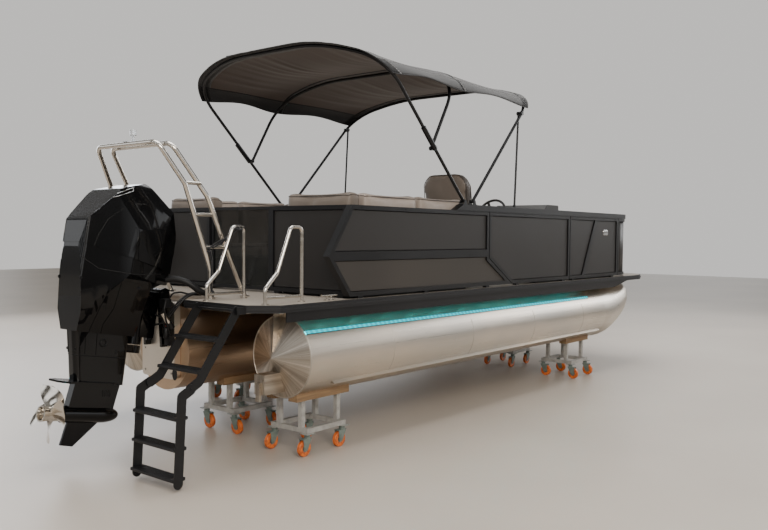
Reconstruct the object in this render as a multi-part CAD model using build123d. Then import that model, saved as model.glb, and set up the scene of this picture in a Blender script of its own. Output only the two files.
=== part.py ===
from build123d import *
from math import atan2, cos, degrees, hypot, pi, radians, sin, sqrt
import os

# A three-tube pontoon boat standing on six caster dollies, in millimetres, with the bow towards +X, port
# towards +Y and the floor at z = 0. While it is built, x = 0 is the aft face of the stern fence.

# Hull tubes
tube_radius = 317.5
keel_height = 437
tube_spacing = 955
tube_aft_x = -460
tail_cone_length = 115
nose_start_x = 4850
nose_length = 1170
nose_tip_depth = 42
nose_keel_thickness = 12
nose_keel_width = 38
riser_width = 120
riser_height = 55
strake_height = 34
strake_thickness = 8
strake_angle = -38
tail_fin_thickness = 10
tail_fin_height = 95

# Pod and transom that carry the motor
transom_aft_x = -900
transom_reach = 210
transom_width = 420
transom_thickness = 60
transom_above_deck = -30

# Deck
deck_thickness = 19
crossmember_height = 44
crossmember_width = 38
crossmember_wall = 5
crossmember_pitch = 406
crossmember_margin = 60
deck_beam = 2540
platform_aft_x = -950
notch_forward_x = -620
notch_width = 840
stern_corner_cut = 170
deck_bow_x = 6300
bow_corner_radius = 480
rub_rail_thickness = 18
rub_rail_height = 56
rub_bead_depth = 7
rub_bead_height = 18
skirt_depth = 130
skirt_thickness = 8
skirt_aft_x = -720
skirt_forward_x = 5100
skirt_taper = 400

# Light strips on the outer shoulders of the tubes
led_height = 24
led_thickness = 8
led_angle = 40
led_forward_x = 4450

# Fence
fence_inset = 8
fence_depth = 60
fence_pocket = 45
fence_foot = 20
fence_foot_length = 60
fence_top = 744
fence_frame = 36
fence_mid = 340
wing_reach = 270
wing_end_x = 2050
wing_foot_x = 2510
fence_joint_x = 3824
fence_bow_x = 5190
section_gap = 12
accent_top_x = 4560
accent_foot_x = 4180
bow_fence_x = 5690
bow_fence_radius = 430
cap_start_x = 1580
cap_height = 57
cap_overhang = 10
bow_gate_width = 660
gate_gap = 12

# Stern gate
gate_starboard_y = -320
gate_port_y = 460
gate_frame = 26
gate_depth = 30
pane_thickness = 6
hinge_inset = 15

# Motor, in a frame with its origin on the tilt axis
tilt_axis_above_deck = 30
tilt_axis_aft_of_transom = 12
motor_trim = 10
steer_axis_back = 150
cowl_wall = 6
cowl_half_width = 262
cowl_front_z = 150
cowl_rear_z = 275
cowl_top_z = 805
cowl_length = 795
pan_z = 62
apron_z = -360
anti_vent_z = -735
prop_axis_drop = 230
torpedo_radius = 62
torpedo_nose_x = -195
torpedo_length = 470
skeg_drop = 235
prop_radius = 200
prop_hub_radius = 52
prop_hub_length = 150
prop_gap = 6
blade_count = 4
blade_pitch = 430
swivel_radius = 58
swivel_half_width = 86
clamp_gap = 8
clamp_thickness = 26
bracket_depth = 420
tilt_tube_radius = 16
running_clearance = 0.05
running_gap = 6

# Tow bar over the motor
tow_tube_radius = 19
tow_half_width = 480
tow_height = 1180
tow_aft_foot_x = -765
tow_aft_rake = 425
tow_forward_foot_x = -415
tow_forward_rake = 650
tow_top_inset = 90
tow_bend = 75
tow_flange_radius = 40
tow_flange_thickness = 8
light_stem_height = 60

# Handrails beside the ladder
handrail_radius = 14
handrail_length = 370
handrail_height = 560
handrail_offset = 62
handrail_bend = 38
handrail_outer_x = -830
handrail_inner_x = -900

# Ladder
ladder_offset = 388
ladder_width = 440
ladder_jog = 75
ladder_rail_width = 70
ladder_rail_thickness = 10
ladder_hinge_x = -1035
ladder_hinge_z = -34
ladder_fold_x = -1440
ladder_fold_z = -530
ladder_foot_clearance = 14
step_depth = 105
step_thickness = 24
ladder_pin_radius = 8

# Sun top
bimini_tube_radius = 15
bimini_inset = 10
bimini_aft_foot_x = 1640
bimini_fore_foot_x = 1800
bimini_aft_top_x = 450
bimini_fore_top_x = 2900
bimini_top = 1970
bimini_crown = 170
bimini_clamp_share = 0.4
bimini_mid_top_x = 1560
bimini_bend = 420
bimini_crown_bend = 1550
bow_bends = (bimini_bend, bimini_crown_bend, bimini_crown_bend, bimini_bend)
canvas_thickness = 16
canvas_overhang = 45
canvas_valance = 170
canvas_slack = 9
strut_radius = 11
strut_foot_x = 2670
strut_foot_lift = 22
eye_radius = 19
jaw_pin_radius = 7
mid_bow_inset = 38
bow_pin_radius = 6
bow_pin_height = 34
bracket_length = 90
bracket_cheek = 6
cleat_length = 170
cleat_height = 38
cleat_radius = 9
cleat_stern_x = -200
cleat_edge_inset = 65
cleat_bow_inset = 330
cleat_bow_edge_inset = 370
docking_light_x = 4840
docking_light_height = 560
docking_light_length = 140
docking_light_width = 68
bow_eye_radius = 11
bow_eye_share = 0.8

# Seats and helm
seat_height = 400
seat_depth = 640
seat_back_height = 865
seat_back_thickness = 150
seat_clearance = 12
cushion_thickness = 130
lounge_corner_x = 720
lounge_starboard_x = 1750
lounge_port_x = 2250
bow_lounge_aft_x = 3950
bow_lounge_forward_x = 5150
chair_x = 2330
chair_y = -700
chair_width = 560
chair_depth = 540
chair_height = 1150
chair_seat_height = 430
chair_back_corner = 150
chaise_back_height = 985
chaise_back_thickness = 130
chaise_back_lean = 60
chaise_back_corner = 130
console_aft_x = 3080
console_forward_x = 3720
console_width = 640
console_height = 860
wheel_height = 760
wheel_offset = 70
wheel_lean = 28
wheel_radius = 180
wheel_rim_radius = 14

# Dollies
dolly_length = 440
dolly_width = 400
dolly_tube = 38
dolly_lift = 172
post_height = 190
pad_length = 600
pad_width = 90
pad_offset = 120
caster_radius = 62.5
caster_width = 32
caster_trail = 36
fork_thickness = 4
fork_gap = 4
caster_inset = 20

# Heights that follow from the sizes above
tube_z = keel_height + tube_radius
tube_top_z = tube_z + tube_radius
frame_z = tube_top_z + riser_height
deck_bottom_z = frame_z + crossmember_height
deck_z = deck_bottom_z + deck_thickness
deck_half = deck_beam / 2
ladder_center_y = ladder_offset - deck_half
handrail_outer_y = ladder_center_y - ladder_width / 2 - handrail_offset
handrail_inner_y = ladder_center_y + ladder_width / 2 + handrail_offset
fence_face = deck_half - fence_inset
fence_inner = fence_face - fence_depth
rail_z = deck_z + fence_top
cap_z = rail_z + cap_height
bimini_half_width = (fence_face + fence_inner) / 2 - bimini_inset
foot_z = cap_z + bow_pin_height
canvas_z = deck_z + bimini_top
crown_top_z = canvas_z + bimini_crown
mid_bow_half = bimini_half_width - mid_bow_inset


def block(x0, x1, y0, y1, z0, z1):
    """A box between two corners."""
    size = (abs(x1 - x0), abs(y1 - y0), abs(z1 - z0))
    return Pos((x0 + x1) / 2, (y0 + y1) / 2, (z0 + z1) / 2) * Box(*size)


def rod(start, end, radius):
    """A round bar from start to end."""
    span = Vector(*end) - Vector(*start)
    plane = Plane(origin=start, z_dir=span)
    return extrude(plane * Circle(radius), amount=span.length)


def bent_tube(points, radius, bend):
    """A round tube along straight runs joined by arcs; bend is their radius, or one for each turn."""
    path = FilletPolyline(*points, radius=bend)
    section = Plane(origin=path @ 0, z_dir=path % 0) * Circle(radius)
    return sweep(section, path=path)


def side_slab(outline, y_near, depth):
    """An outline drawn in x and z, standing upright from y_near and growing towards starboard."""
    plane = Plane(origin=(0, y_near, 0), x_dir=(1, 0, 0), z_dir=(0, -1, 0))
    return extrude(plane * outline, amount=depth)


def poly(*points):
    """A face from corner points, kept where they are drawn."""
    return make_face(Polyline(*points, close=True))


def to_port(shape):
    """The same piece on the other side of the boat."""
    return mirror(shape, about=Plane.XZ)


def both_sides(shape):
    """A starboard piece with its port twin, as solids that don't touch."""
    return Compound(children=[*shape.solids(), *to_port(shape).solids()])


# Hull

def tube_cylinder(center_y, radius, x0, x1):
    return Pos((x0 + x1) / 2, center_y, tube_z) * Rot(0, 90, 0) * Cylinder(radius, x1 - x0)


def nose_radius(share):
    """Radius of the raked nose at a share of its length, with its top line level."""
    full_depth = 2 * tube_radius - nose_tip_depth
    return (nose_tip_depth + full_depth * sqrt(1 - share * share)) / 2


def nose():
    stations = (0, 0.45, 0.75, 0.92, 1)
    rings = []
    for share in stations:
        radius = nose_radius(share)
        center = (nose_start_x + share * nose_length, 0, tube_top_z - radius)
        rings.append(Plane(origin=center, z_dir=(1, 0, 0)) * Circle(radius))
    return loft(rings)


def nose_keel():
    """The welded seam plate that stands out from the underside of the nose."""
    lower = []
    upper = []
    for share in (0.1, 0.35, 0.6, 0.8, 0.92, 0.98):
        radius = nose_radius(share)
        x = nose_start_x + share * nose_length
        z = tube_top_z - 2 * radius
        lower.append((x + nose_keel_width * share, z - nose_keel_width * (1 - share)))
        upper.append((x, z + radius / 3))
    outline = poly(*lower, *reversed(upper))
    return side_slab(outline, nose_keel_thickness / 2, nose_keel_thickness)


def bow_eye():
    """A lug on the nose's underside and the hole through it, for a shackle or a mooring hook."""
    radius = nose_radius(bow_eye_share)
    x = nose_start_x + bow_eye_share * nose_length + 1.6 * bow_eye_radius
    z = tube_top_z - 2 * radius - 1.6 * bow_eye_radius
    lug = Pos(x, 0, z) * Rot(90, 0, 0) * Cylinder(3 * bow_eye_radius, nose_keel_thickness)
    hole = Pos(x, 0, z) * Rot(90, 0, 0) * Cylinder(bow_eye_radius, 2 * nose_keel_thickness)
    return lug, hole


def riser(x0, x1):
    """The rail welded along a tube's crown, which carries the crossmembers."""
    body = block(x0, x1, -riser_width / 2, riser_width / 2, tube_z, frame_z)
    foot = block(x0, x1, -riser_width / 2, riser_width / 2, tube_z, tube_top_z - tube_radius / 6)
    return body - foot


def strake(side, x0, x1):
    """A lifting strake along a tube's lower flank."""
    turn = -90 - side * (90 + strake_angle)
    wedge = extrude(
        Plane(origin=(x0, 0, 0), x_dir=(0, 1, 0), z_dir=(1, 0, 0))
        * poly(
            (tube_radius - strake_thickness, -strake_height),
            (tube_radius + strake_height, 0),
            (tube_radius - strake_thickness, 0),
        ),
        amount=x1 - x0,
    )
    angle = strake_angle if side > 0 else strake_angle
    turned = Rot(angle, 0, 0) * wedge
    placed = Pos(0, 0, tube_z) * turned
    return placed if side > 0 else mirror(placed, about=Plane.XZ)


def outer_pontoon():
    """One outer tube, on the centre line until it is moved to its side."""
    body = tube_cylinder(0, tube_radius, tube_aft_x, nose_start_x)
    tail_plane = Plane(origin=(tube_aft_x, 0, tube_z), z_dir=(-1, 0, 0))
    tail_tip = 4
    tail = loft([
        tail_plane * Circle(tube_radius),
        tail_plane.offset(tail_cone_length) * Circle(tail_tip),
    ])
    fin_top = tube_top_z + riser_height / 2
    fin = side_slab(
        poly(
            (tube_aft_x - tail_cone_length * 0.9, tube_z + tube_radius * 0.15),
            (tube_aft_x - tail_cone_length * 0.75, fin_top),
            (tube_aft_x - tail_cone_length * 0.1, fin_top),
            (tube_aft_x + tail_fin_height, tube_top_z - tail_fin_height),
            (tube_aft_x, tube_z),
        ),
        tail_fin_thickness / 2,
        tail_fin_thickness,
    )
    lug, hole = bow_eye()
    pieces = [tail, nose(), nose_keel(), lug, riser(tube_aft_x, nose_start_x), fin]
    for side in (-1, 1):
        pieces.append(strake(side, tube_aft_x + 300, nose_start_x - 100))
    for piece in pieces:
        body = body + piece
    return body - hole


def pontoon_center():
    """The middle tube, run aft under the platform to the transom that holds the motor."""
    tube_end_x = transom_aft_x + transom_thickness
    body = tube_cylinder(0, tube_radius, tube_end_x, nose_start_x)
    transom_top = deck_z + transom_above_deck
    transom_bottom = tube_z - transom_reach
    transom = block(
        transom_aft_x, tube_end_x, -transom_width / 2, transom_width / 2, transom_bottom, transom_top
    )
    transom = fillet(transom.edges().filter_by(Axis.X), 40)
    braces = []
    for y in (-transom_width / 2 + 40, transom_width / 2 - 30):
        braces.append(
            side_slab(
                poly(
                    (tube_end_x, tube_z), (tube_end_x, transom_top - 30),
                    (tube_end_x + transom_reach, tube_top_z - 30), (tube_end_x + transom_reach, tube_z),
                ),
                y, 10,
            )
        )
    lug, hole = bow_eye()
    riser_start = notch_forward_x + 60
    for piece in [transom, *braces, nose(), nose_keel(), lug, riser(riser_start, nose_start_x)]:
        body = body + piece
    return body - hole


# Deck

def deck_outline(grow, notched):
    """The deck seen from above, grown outwards by grow, with or without the motor notch."""
    half = deck_half + grow
    aft = platform_aft_x - grow
    cut = stern_corner_cut
    starboard = [(aft, -half + cut), (aft + cut, -half)]
    bow = [(deck_bow_x + grow, -half), (deck_bow_x + grow, half)]
    port = [(aft + cut, half), (aft, half - cut)]
    face = poly(*starboard, *bow, *port)
    corners = face.vertices().sort_by(Axis.X)[-2:]
    face = fillet(corners, bow_corner_radius + grow)
    if notched:
        notch = Pos((aft + notch_forward_x) / 2, 0) * Rectangle(notch_forward_x - aft, notch_width)
        face = face - notch
    return face


def deck():
    return Pos(0, 0, deck_bottom_z) * extrude(deck_outline(0, True), amount=deck_thickness)


def rub_rail():
    """The bumper rail round the deck's edge, with a raised bead along its middle."""
    bottom = deck_z - rub_rail_height
    band = extrude(deck_outline(rub_rail_thickness, False), amount=rub_rail_height)
    bead_z = (rub_rail_height - rub_bead_height) / 2
    bead = extrude(deck_outline(rub_rail_thickness + rub_bead_depth, False), amount=rub_bead_height)
    ring = band + Pos(0, 0, bead_z) * bead
    ring = ring - Pos(0, 0, -1) * extrude(deck_outline(0, False), amount=rub_rail_height + 2)
    reach = rub_rail_thickness + rub_bead_depth + 1
    opening = block(
        platform_aft_x - reach, platform_aft_x + 1, -notch_width / 2, notch_width / 2, -1, rub_rail_height + 1
    )
    return Pos(0, 0, bottom) * (ring - opening)


def crossmember(x, half_length, from_y=0):
    """A channel across the boat, open towards the bow."""
    full = block(x, x + crossmember_width, -half_length, half_length, frame_z, deck_bottom_z)
    hollow = block(
        x + crossmember_wall,
        x + crossmember_width + 1,
        -half_length - 1,
        half_length + 1,
        frame_z + crossmember_wall,
        deck_bottom_z - crossmember_wall,
    )
    channel = full - hollow
    if from_y:
        channel = channel - block(x - 1, x + crossmember_width + 1, -from_y, from_y, frame_z - 1, deck_bottom_z + 1)
    return channel


def crossmembers():
    half_length = deck_half - skirt_thickness
    pieces = []
    x = notch_forward_x + crossmember_margin
    last = deck_bow_x - bow_corner_radius - crossmember_width
    while x < last:
        pieces.extend(crossmember(x, half_length).solids())
        x += crossmember_pitch
    for aft_x in (platform_aft_x + stern_corner_cut, platform_aft_x + crossmember_margin / 4):
        short = half_length if aft_x > platform_aft_x + stern_corner_cut - 1 else half_length - stern_corner_cut
        pieces.extend(crossmember(aft_x, short, notch_width / 2).solids())
    beam_length = (platform_aft_x + stern_corner_cut + crossmember_width, notch_forward_x + crossmember_margin)
    for y in (notch_width / 2, half_length - 2 * crossmember_width - 400):
        beam = block(*beam_length, y, y + crossmember_width, frame_z, deck_bottom_z)
        pieces.extend([*beam.solids(), *to_port(beam).solids()])
    return Compound(children=pieces)


def side_skirt():
    """The apron under the starboard rub rail, with its forward end cut to a taper."""
    top = deck_bottom_z
    bottom = deck_z - skirt_depth
    outline = poly(
        (skirt_aft_x, bottom),
        (skirt_forward_x, bottom),
        (skirt_forward_x + skirt_taper, deck_z - rub_rail_height - 4),
        (skirt_forward_x + skirt_taper, top),
        (skirt_aft_x, top),
    )
    return side_slab(outline, -(deck_half - skirt_thickness), skirt_thickness)


def led_strip():
    """The lit strip on the starboard tube's outer shoulder."""
    strip = block(
        tube_aft_x + 10,
        led_forward_x,
        -(tube_radius + led_thickness),
        -(tube_radius - led_height / 4),
        -led_height / 2,
        led_height / 2,
    )
    turned = Pos(0, -tube_spacing, tube_z) * Rot(-led_angle, 0, 0) * strip
    return turned - tube_cylinder(-tube_spacing, tube_radius, tube_aft_x - 1, nose_start_x + 1)


# Fence

def framed(outline, bays):
    """A starboard fence section: a frame with a sunk panel in each bay."""
    body = side_slab(outline, -fence_inner, fence_depth)
    for bay in bays:
        sunk = offset(bay, amount=-fence_frame, kind=Kind.INTERSECTION)
        body = body - side_slab(sunk, -(fence_face - fence_pocket), fence_pocket + 1)
    return body


def feet(xs, y_middle):
    pieces = []
    for x in xs:
        pieces.append(
            block(
                x - fence_foot_length / 2,
                x + fence_foot_length / 2,
                y_middle - fence_depth / 3,
                y_middle + fence_depth / 3,
                deck_z,
                deck_z + fence_foot,
            )
        )
    return pieces


def fence_starboard_aft():
    """The first section, whose aft edge reaches out over the platform as a pointed wing."""
    bottom = deck_z + fence_foot
    middle = deck_z + fence_mid
    slope_x = wing_end_x + section_gap
    outline = poly(
        (0, rail_z), (-wing_reach, middle), (-fence_foot, bottom),
        (wing_foot_x, bottom), (wing_end_x, middle - 50), (wing_end_x, rail_z),
    )
    upper = poly((0, rail_z), (-wing_reach, middle), (wing_end_x, middle), (wing_end_x, rail_z))
    lower = poly(
        (-wing_reach, middle), (-fence_foot, bottom), (wing_foot_x, bottom),
        (wing_end_x, middle - 50), (wing_end_x, middle),
    )
    body = framed(outline, [upper, lower])
    middle_y = -(fence_face + fence_inner) / 2
    for foot in feet((120, wing_end_x / 2, wing_end_x), middle_y):
        body = body + foot
    return body


def fence_starboard_fore():
    """The two sections forward of the wing, as far as the bow corner."""
    bottom = deck_z + fence_foot
    middle = deck_z + fence_mid
    start = wing_end_x + section_gap
    foot_x = wing_foot_x + section_gap
    joint = fence_joint_x - section_gap / 2
    second = fence_joint_x + section_gap / 2
    mid_outline = poly((start, rail_z), (start, middle - 50), (foot_x, bottom), (joint, bottom), (joint, rail_z))
    mid_bay = poly((start, rail_z), (start, middle - 50), (foot_x, bottom), (joint, bottom), (joint, rail_z))
    bow_outline = poly((second, rail_z), (second, bottom), (fence_bow_x, bottom), (fence_bow_x, rail_z))
    aft_bay = poly((second, rail_z), (second, bottom), (accent_foot_x, bottom), (accent_top_x, rail_z))
    fore_bay = poly(
        (accent_top_x, rail_z), (accent_foot_x, bottom), (fence_bow_x, bottom), (fence_bow_x, rail_z)
    )
    middle_y = -(fence_face + fence_inner) / 2
    mid_section = framed(mid_outline, [mid_bay])
    for foot in feet((foot_x + 120, joint - 120), middle_y):
        mid_section = mid_section + foot
    bow_section = framed(bow_outline, [aft_bay, fore_bay])
    for foot in feet((second + 120, fence_bow_x - 120), middle_y):
        bow_section = bow_section + foot
    return Compound(children=[*mid_section.solids(), *bow_section.solids()])


def stern_panel(y0, y1):
    """A framed panel of the stern fence between two widths."""
    bottom = deck_z + fence_foot
    body = block(0, fence_depth, y0, y1, bottom, rail_z)
    sunk = block(
        -1, fence_pocket, y0 + fence_frame, y1 - fence_frame, bottom + fence_frame, rail_z - fence_frame
    )
    body = body - sunk
    for y in (y0 + 2 * fence_frame, y1 - 2 * fence_frame):
        foot = block(
            fence_depth / 6, fence_depth * 5 / 6, y - fence_foot_length / 2, y + fence_foot_length / 2,
            deck_z, bottom,
        )
        body = body + foot
    return body


def fence_stern():
    starboard = stern_panel(-fence_inner, gate_starboard_y - gate_gap)
    port = stern_panel(gate_port_y + gate_gap, fence_inner)
    return Compound(children=[*starboard.solids(), *port.solids()])


def bow_corner(inner_inset, outer_inset, z0, z1, reach):
    """A curved stretch of the starboard bow corner between two distances from the fence's face."""
    def ring(inset):
        half = fence_face - inset
        face = poly(
            (fence_bow_x + section_gap, -half), (bow_fence_x + fence_depth - inset, -half),
            (bow_fence_x + fence_depth - inset, 0), (fence_bow_x + section_gap, 0),
        )
        corner = face.vertices().sort_by(Axis.X)[-2:].sort_by(Axis.Y)[0]
        return fillet(corner, bow_fence_radius - inset)
    band = ring(outer_inset) - ring(inner_inset)
    band = band - Pos(0, 0) * Rectangle(4 * bow_fence_x, 2 * reach)
    return Pos(0, 0, z0) * extrude(band, amount=z1 - z0)


def fence_bow():
    """The two curved corners of the bow fence, either side of the gate."""
    bottom = deck_z + fence_foot
    reach = bow_gate_width / 2 + gate_gap
    body = bow_corner(fence_depth, 0, bottom, rail_z, reach)
    sunk = bow_corner(
        fence_pocket, -1, bottom + fence_frame, rail_z - fence_frame, reach + fence_frame
    )
    keep = block(
        fence_bow_x, fence_bow_x + section_gap + fence_frame, -fence_face - 2, 0, deck_z, rail_z
    )
    body = body - (sunk - keep)
    front_x = bow_fence_x + fence_depth / 2
    for y in (-reach - 2 * fence_frame,):
        foot = block(
            front_x - fence_depth / 3, front_x + fence_depth / 3, y - fence_foot_length / 2,
            y + fence_foot_length / 2, deck_z, bottom,
        )
        body = body + foot
    return both_sides(body)


def cap_rails():
    """The taller coaming along the forward fence, with the sun top's brackets on it."""
    straight = block(
        cap_start_x, fence_bow_x, -(fence_face + cap_overhang), -(fence_inner - cap_overhang), rail_z, cap_z
    )
    reach = bow_gate_width / 2 + gate_gap
    corner = bow_corner(fence_depth + cap_overhang, -cap_overhang, rail_z, cap_z, reach)
    start = block(fence_bow_x - 1, fence_bow_x + section_gap + 1, -(fence_face + cap_overhang),
                  -(fence_inner - cap_overhang), rail_z, cap_z)
    cap = straight + start + corner
    lead = side_slab(
        poly((cap_start_x - 120, rail_z), (cap_start_x, rail_z), (cap_start_x, cap_z)),
        -(fence_inner - cap_overhang), fence_depth + 2 * cap_overhang,
    )
    cap = cap + lead
    for bracket in bimini_mounts():
        cap = cap + bracket
    return both_sides(cap)


def bimini_mounts():
    """Brackets on the cap that hold the feet of the bows: two cheeks with their pins."""
    pieces = []
    gap = eye_radius + bracket_cheek / 3
    for x in (bimini_aft_foot_x, bimini_fore_foot_x):
        half = bracket_length / 2
        plate_top = cap_z + bracket_cheek
        base = block(
            x - half, x + half, -bimini_half_width - gap - bracket_cheek, -bimini_half_width + gap + bracket_cheek,
            cap_z, plate_top,
        )
        for y in (-bimini_half_width - gap, -bimini_half_width + gap + bracket_cheek):
            cheek = side_slab(
                poly(
                    (x - half * 0.6, plate_top), (x + half * 0.6, plate_top),
                    (x + half * 0.3, foot_z + bow_pin_radius * 2), (x - half * 0.3, foot_z + bow_pin_radius * 2),
                ),
                y, bracket_cheek,
            )
            base = base + cheek
        pin = Pos(x, -bimini_half_width, foot_z) * Rot(90, 0, 0) * Cylinder(bow_pin_radius, 2 * gap + 2)
        pieces.append(base + pin)
    return pieces


# Gates

def round_hinge_side(gate):
    """A gate whose port edge is turned round its own hinge line."""
    far_y = gate.bounding_box().max.Y
    upright = gate.edges().filter_by(Axis.Z).filter_by(lambda e: abs((e @ 0.5).Y - far_y) < 1)
    return fillet(upright, gate_depth / 2 - running_clearance)


def stern_gate_frame():
    bottom = deck_z + fence_foot
    x0 = (fence_depth - gate_depth) / 2
    body = block(x0, x0 + gate_depth, gate_starboard_y, gate_port_y, bottom, rail_z)
    hole = block(
        -1, fence_depth + 1, gate_starboard_y + gate_frame, gate_port_y - gate_frame,
        bottom + gate_frame, rail_z - gate_frame,
    )
    return round_hinge_side(body - hole)


def stern_gate_pane():
    bottom = deck_z + fence_foot
    x = fence_depth / 2
    return block(
        x - pane_thickness / 2, x + pane_thickness / 2, gate_starboard_y + gate_frame, gate_port_y - gate_frame,
        bottom + gate_frame, rail_z - gate_frame,
    )


def bow_gate():
    bottom = deck_z + fence_foot
    half = bow_gate_width / 2
    x0 = bow_fence_x + (fence_depth - gate_depth) / 2
    body = block(x0, x0 + gate_depth, -half, half, bottom, rail_z)
    sunk = block(
        x0 + gate_depth / 2, x0 + gate_depth + 1, -half + fence_frame, half - fence_frame,
        bottom + fence_frame, rail_z - fence_frame,
    )
    return round_hinge_side(body) - sunk


# Seats and helm

outer_seat_y = -(fence_inner - seat_clearance)
seat_base_z = deck_z + seat_height - cushion_thickness


def lounge_base(end_x, gate_side_y):
    """The moulded shell under a starboard L-shaped lounge, with a toe recess along its inner faces."""
    aft = fence_depth + seat_clearance
    inner = outer_seat_y + seat_depth
    body = block(aft, lounge_corner_x, outer_seat_y, gate_side_y, deck_z, seat_base_z)
    body = body + block(lounge_corner_x - 1, end_x, outer_seat_y, inner, deck_z, seat_base_z)
    toe = 45
    body = body - block(lounge_corner_x + toe, end_x + 1, inner - toe, inner + 1, deck_z - 1, deck_z + 2 * toe)
    return body - block(
        lounge_corner_x - toe, lounge_corner_x + 1, inner, gate_side_y + 1, deck_z - 1, deck_z + 2 * toe
    )


def cushion(x0, x1, y0, y1, z0, z1, round_edge):
    """One upholstered block with soft upper edges, a little smaller than its bay."""
    ease = 3
    body = block(x0 + ease, x1 - ease, y0 + ease, y1 - ease, z0, z1)
    return fillet(body.edges().group_by(Axis.Z)[-1], round_edge)


def lounge_cushions(end_x, gate_side_y, bays):
    """Back and seat cushions of a starboard L-shaped lounge, the long side in equal bays."""
    aft = fence_depth + seat_clearance
    back = seat_back_thickness
    inner = outer_seat_y + seat_depth
    seat_top = deck_z + seat_height
    back_top = deck_z + seat_back_height
    pieces = [
        cushion(aft, aft + back, outer_seat_y, gate_side_y, seat_base_z, back_top, 45),
        cushion(aft + back, lounge_corner_x, outer_seat_y + back, gate_side_y, seat_base_z, seat_top, 30),
    ]
    start = aft + back
    pitch = (end_x - start) / bays
    for bay in range(bays):
        pieces.append(cushion(
            start + bay * pitch, start + (bay + 1) * pitch, outer_seat_y, outer_seat_y + back,
            seat_base_z, back_top, 45,
        ))
    seats = bays - 1
    pitch = (end_x - lounge_corner_x) / seats
    for bay in range(seats):
        pieces.append(cushion(
            lounge_corner_x + bay * pitch, lounge_corner_x + (bay + 1) * pitch, outer_seat_y + back, inner,
            seat_base_z, seat_top, 30,
        ))
    return Compound(children=[solid for piece in pieces for solid in piece.solids()])


starboard_gate_side = gate_starboard_y - 100
port_gate_side = -(gate_port_y + 50)


def lounge_starboard():
    return lounge_cushions(lounge_starboard_x, starboard_gate_side, 2)


def chaise_back():
    """The raised back on the long lounge's forward end, for someone who faces the stern."""
    low_z = deck_z + seat_height
    high_z = deck_z + chaise_back_height
    outer = outer_seat_y + seat_back_thickness + seat_clearance
    inner = outer_seat_y + seat_depth - seat_clearance
    x = lounge_port_x - seat_clearance
    slab = side_slab(
        poly(
            (x - chaise_back_thickness - chaise_back_lean, low_z), (x - chaise_back_lean, low_z), (x, high_z),
            (x - chaise_back_thickness * 0.7, high_z),
        ),
        inner, inner - outer,
    )
    return slab & rounded_top((outer + inner) / 2, inner - outer, low_z, high_z, chaise_back_corner)


def lounge_port():
    cushions = lounge_cushions(lounge_port_x, port_gate_side, 3)
    return to_port(Compound(children=[*cushions.solids(), *chaise_back().solids()]))


def seat_bases():
    """The moulded shells that carry every lounge."""
    starboard = lounge_base(lounge_starboard_x, starboard_gate_side)
    port = to_port(lounge_base(lounge_port_x, port_gate_side))
    inner = outer_seat_y + seat_depth
    bow = block(bow_lounge_aft_x, bow_lounge_forward_x, outer_seat_y, inner, deck_z, seat_base_z)
    toe = 45
    bow = bow - block(bow_lounge_aft_x - 1, bow_lounge_forward_x + 1, inner - toe, inner + 1, deck_z - 1,
                      deck_z + 2 * toe)
    return Compound(children=[
        *starboard.solids(), *port.solids(), *bow.solids(), *to_port(bow).solids(),
    ])


def bow_lounges():
    """Cushions of the two chaises that face the bow, each with a sloping backrest at its aft end."""
    inner = outer_seat_y + seat_depth
    side = outer_seat_y + seat_back_thickness
    rest_x = bow_lounge_aft_x + 340
    rest_top = deck_z + seat_back_height - 40
    rest = side_slab(
        poly(
            (bow_lounge_aft_x + 3, seat_base_z), (rest_x - 6, seat_base_z),
            (bow_lounge_aft_x + 160, rest_top), (bow_lounge_aft_x + 3, rest_top),
        ),
        inner - 3, inner - side - 6,
    )
    rest = fillet(rest.edges().group_by(Axis.Z)[-1], 40)
    pieces = [
        rest,
        cushion(rest_x, bow_lounge_forward_x, side, inner, seat_base_z, deck_z + seat_height, 30),
        cushion(bow_lounge_aft_x, bow_lounge_forward_x, outer_seat_y, side, seat_base_z,
                deck_z + seat_back_height - 60, 45),
    ]
    return both_sides(Compound(children=[solid for piece in pieces for solid in piece.solids()]))


def chair_pedestal():
    base = Pos(chair_x, chair_y, deck_z + 8) * Cylinder(190, 16)
    column = Pos(chair_x, chair_y, deck_z + 16 + (chair_seat_z - deck_z - 16) / 2) * Cylinder(
        48, chair_seat_z - deck_z - 16
    )
    return base + column


def rounded_top(center_y, width, low_z, high_z, corner):
    """A long prism along the boat whose upper corners are rounded, to cut the tops of backrests."""
    face = Pos(center_y, (low_z + high_z) / 2) * Rectangle(width, high_z - low_z)
    face = fillet(face.vertices().group_by(Axis.Y)[-1], corner)
    plane = Plane(origin=(-deck_beam, 0, 0), x_dir=(0, 1, 0), z_dir=(1, 0, 0))
    return extrude(plane * face, amount=4 * deck_beam)


def chair_seat():
    """The captain's chair, facing the bow, on its swivel plate."""
    x0 = chair_x - chair_depth / 2
    y0 = chair_y - chair_width / 2
    y1 = chair_y + chair_width / 2
    bottom = chair_seat_z + 1
    plate = block(chair_x - 140, chair_x + 140, chair_y - 140, chair_y + 140, bottom, bottom + 20)
    cushion = block(x0 + 100, x0 + chair_depth, y0, y1, bottom + 20, bottom + 160)
    cushion = fillet(cushion.edges(), 35)
    back = side_slab(
        poly(
            (x0 + 60, bottom + 60), (x0 + 190, bottom + 60), (x0 + 110, deck_z + chair_height),
            (x0, deck_z + chair_height),
        ),
        y1, chair_width,
    )
    back = back & rounded_top(chair_y, chair_width, bottom, deck_z + chair_height, chair_back_corner)
    arms = []
    for y in (y0 - 0, y1 - 70):
        arms.append(block(x0 + 130, x0 + chair_depth - 70, y, y + 70, bottom + 150, bottom + 330))
    body = plate + cushion + back
    for arm in arms:
        body = body + arm
    return body


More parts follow.
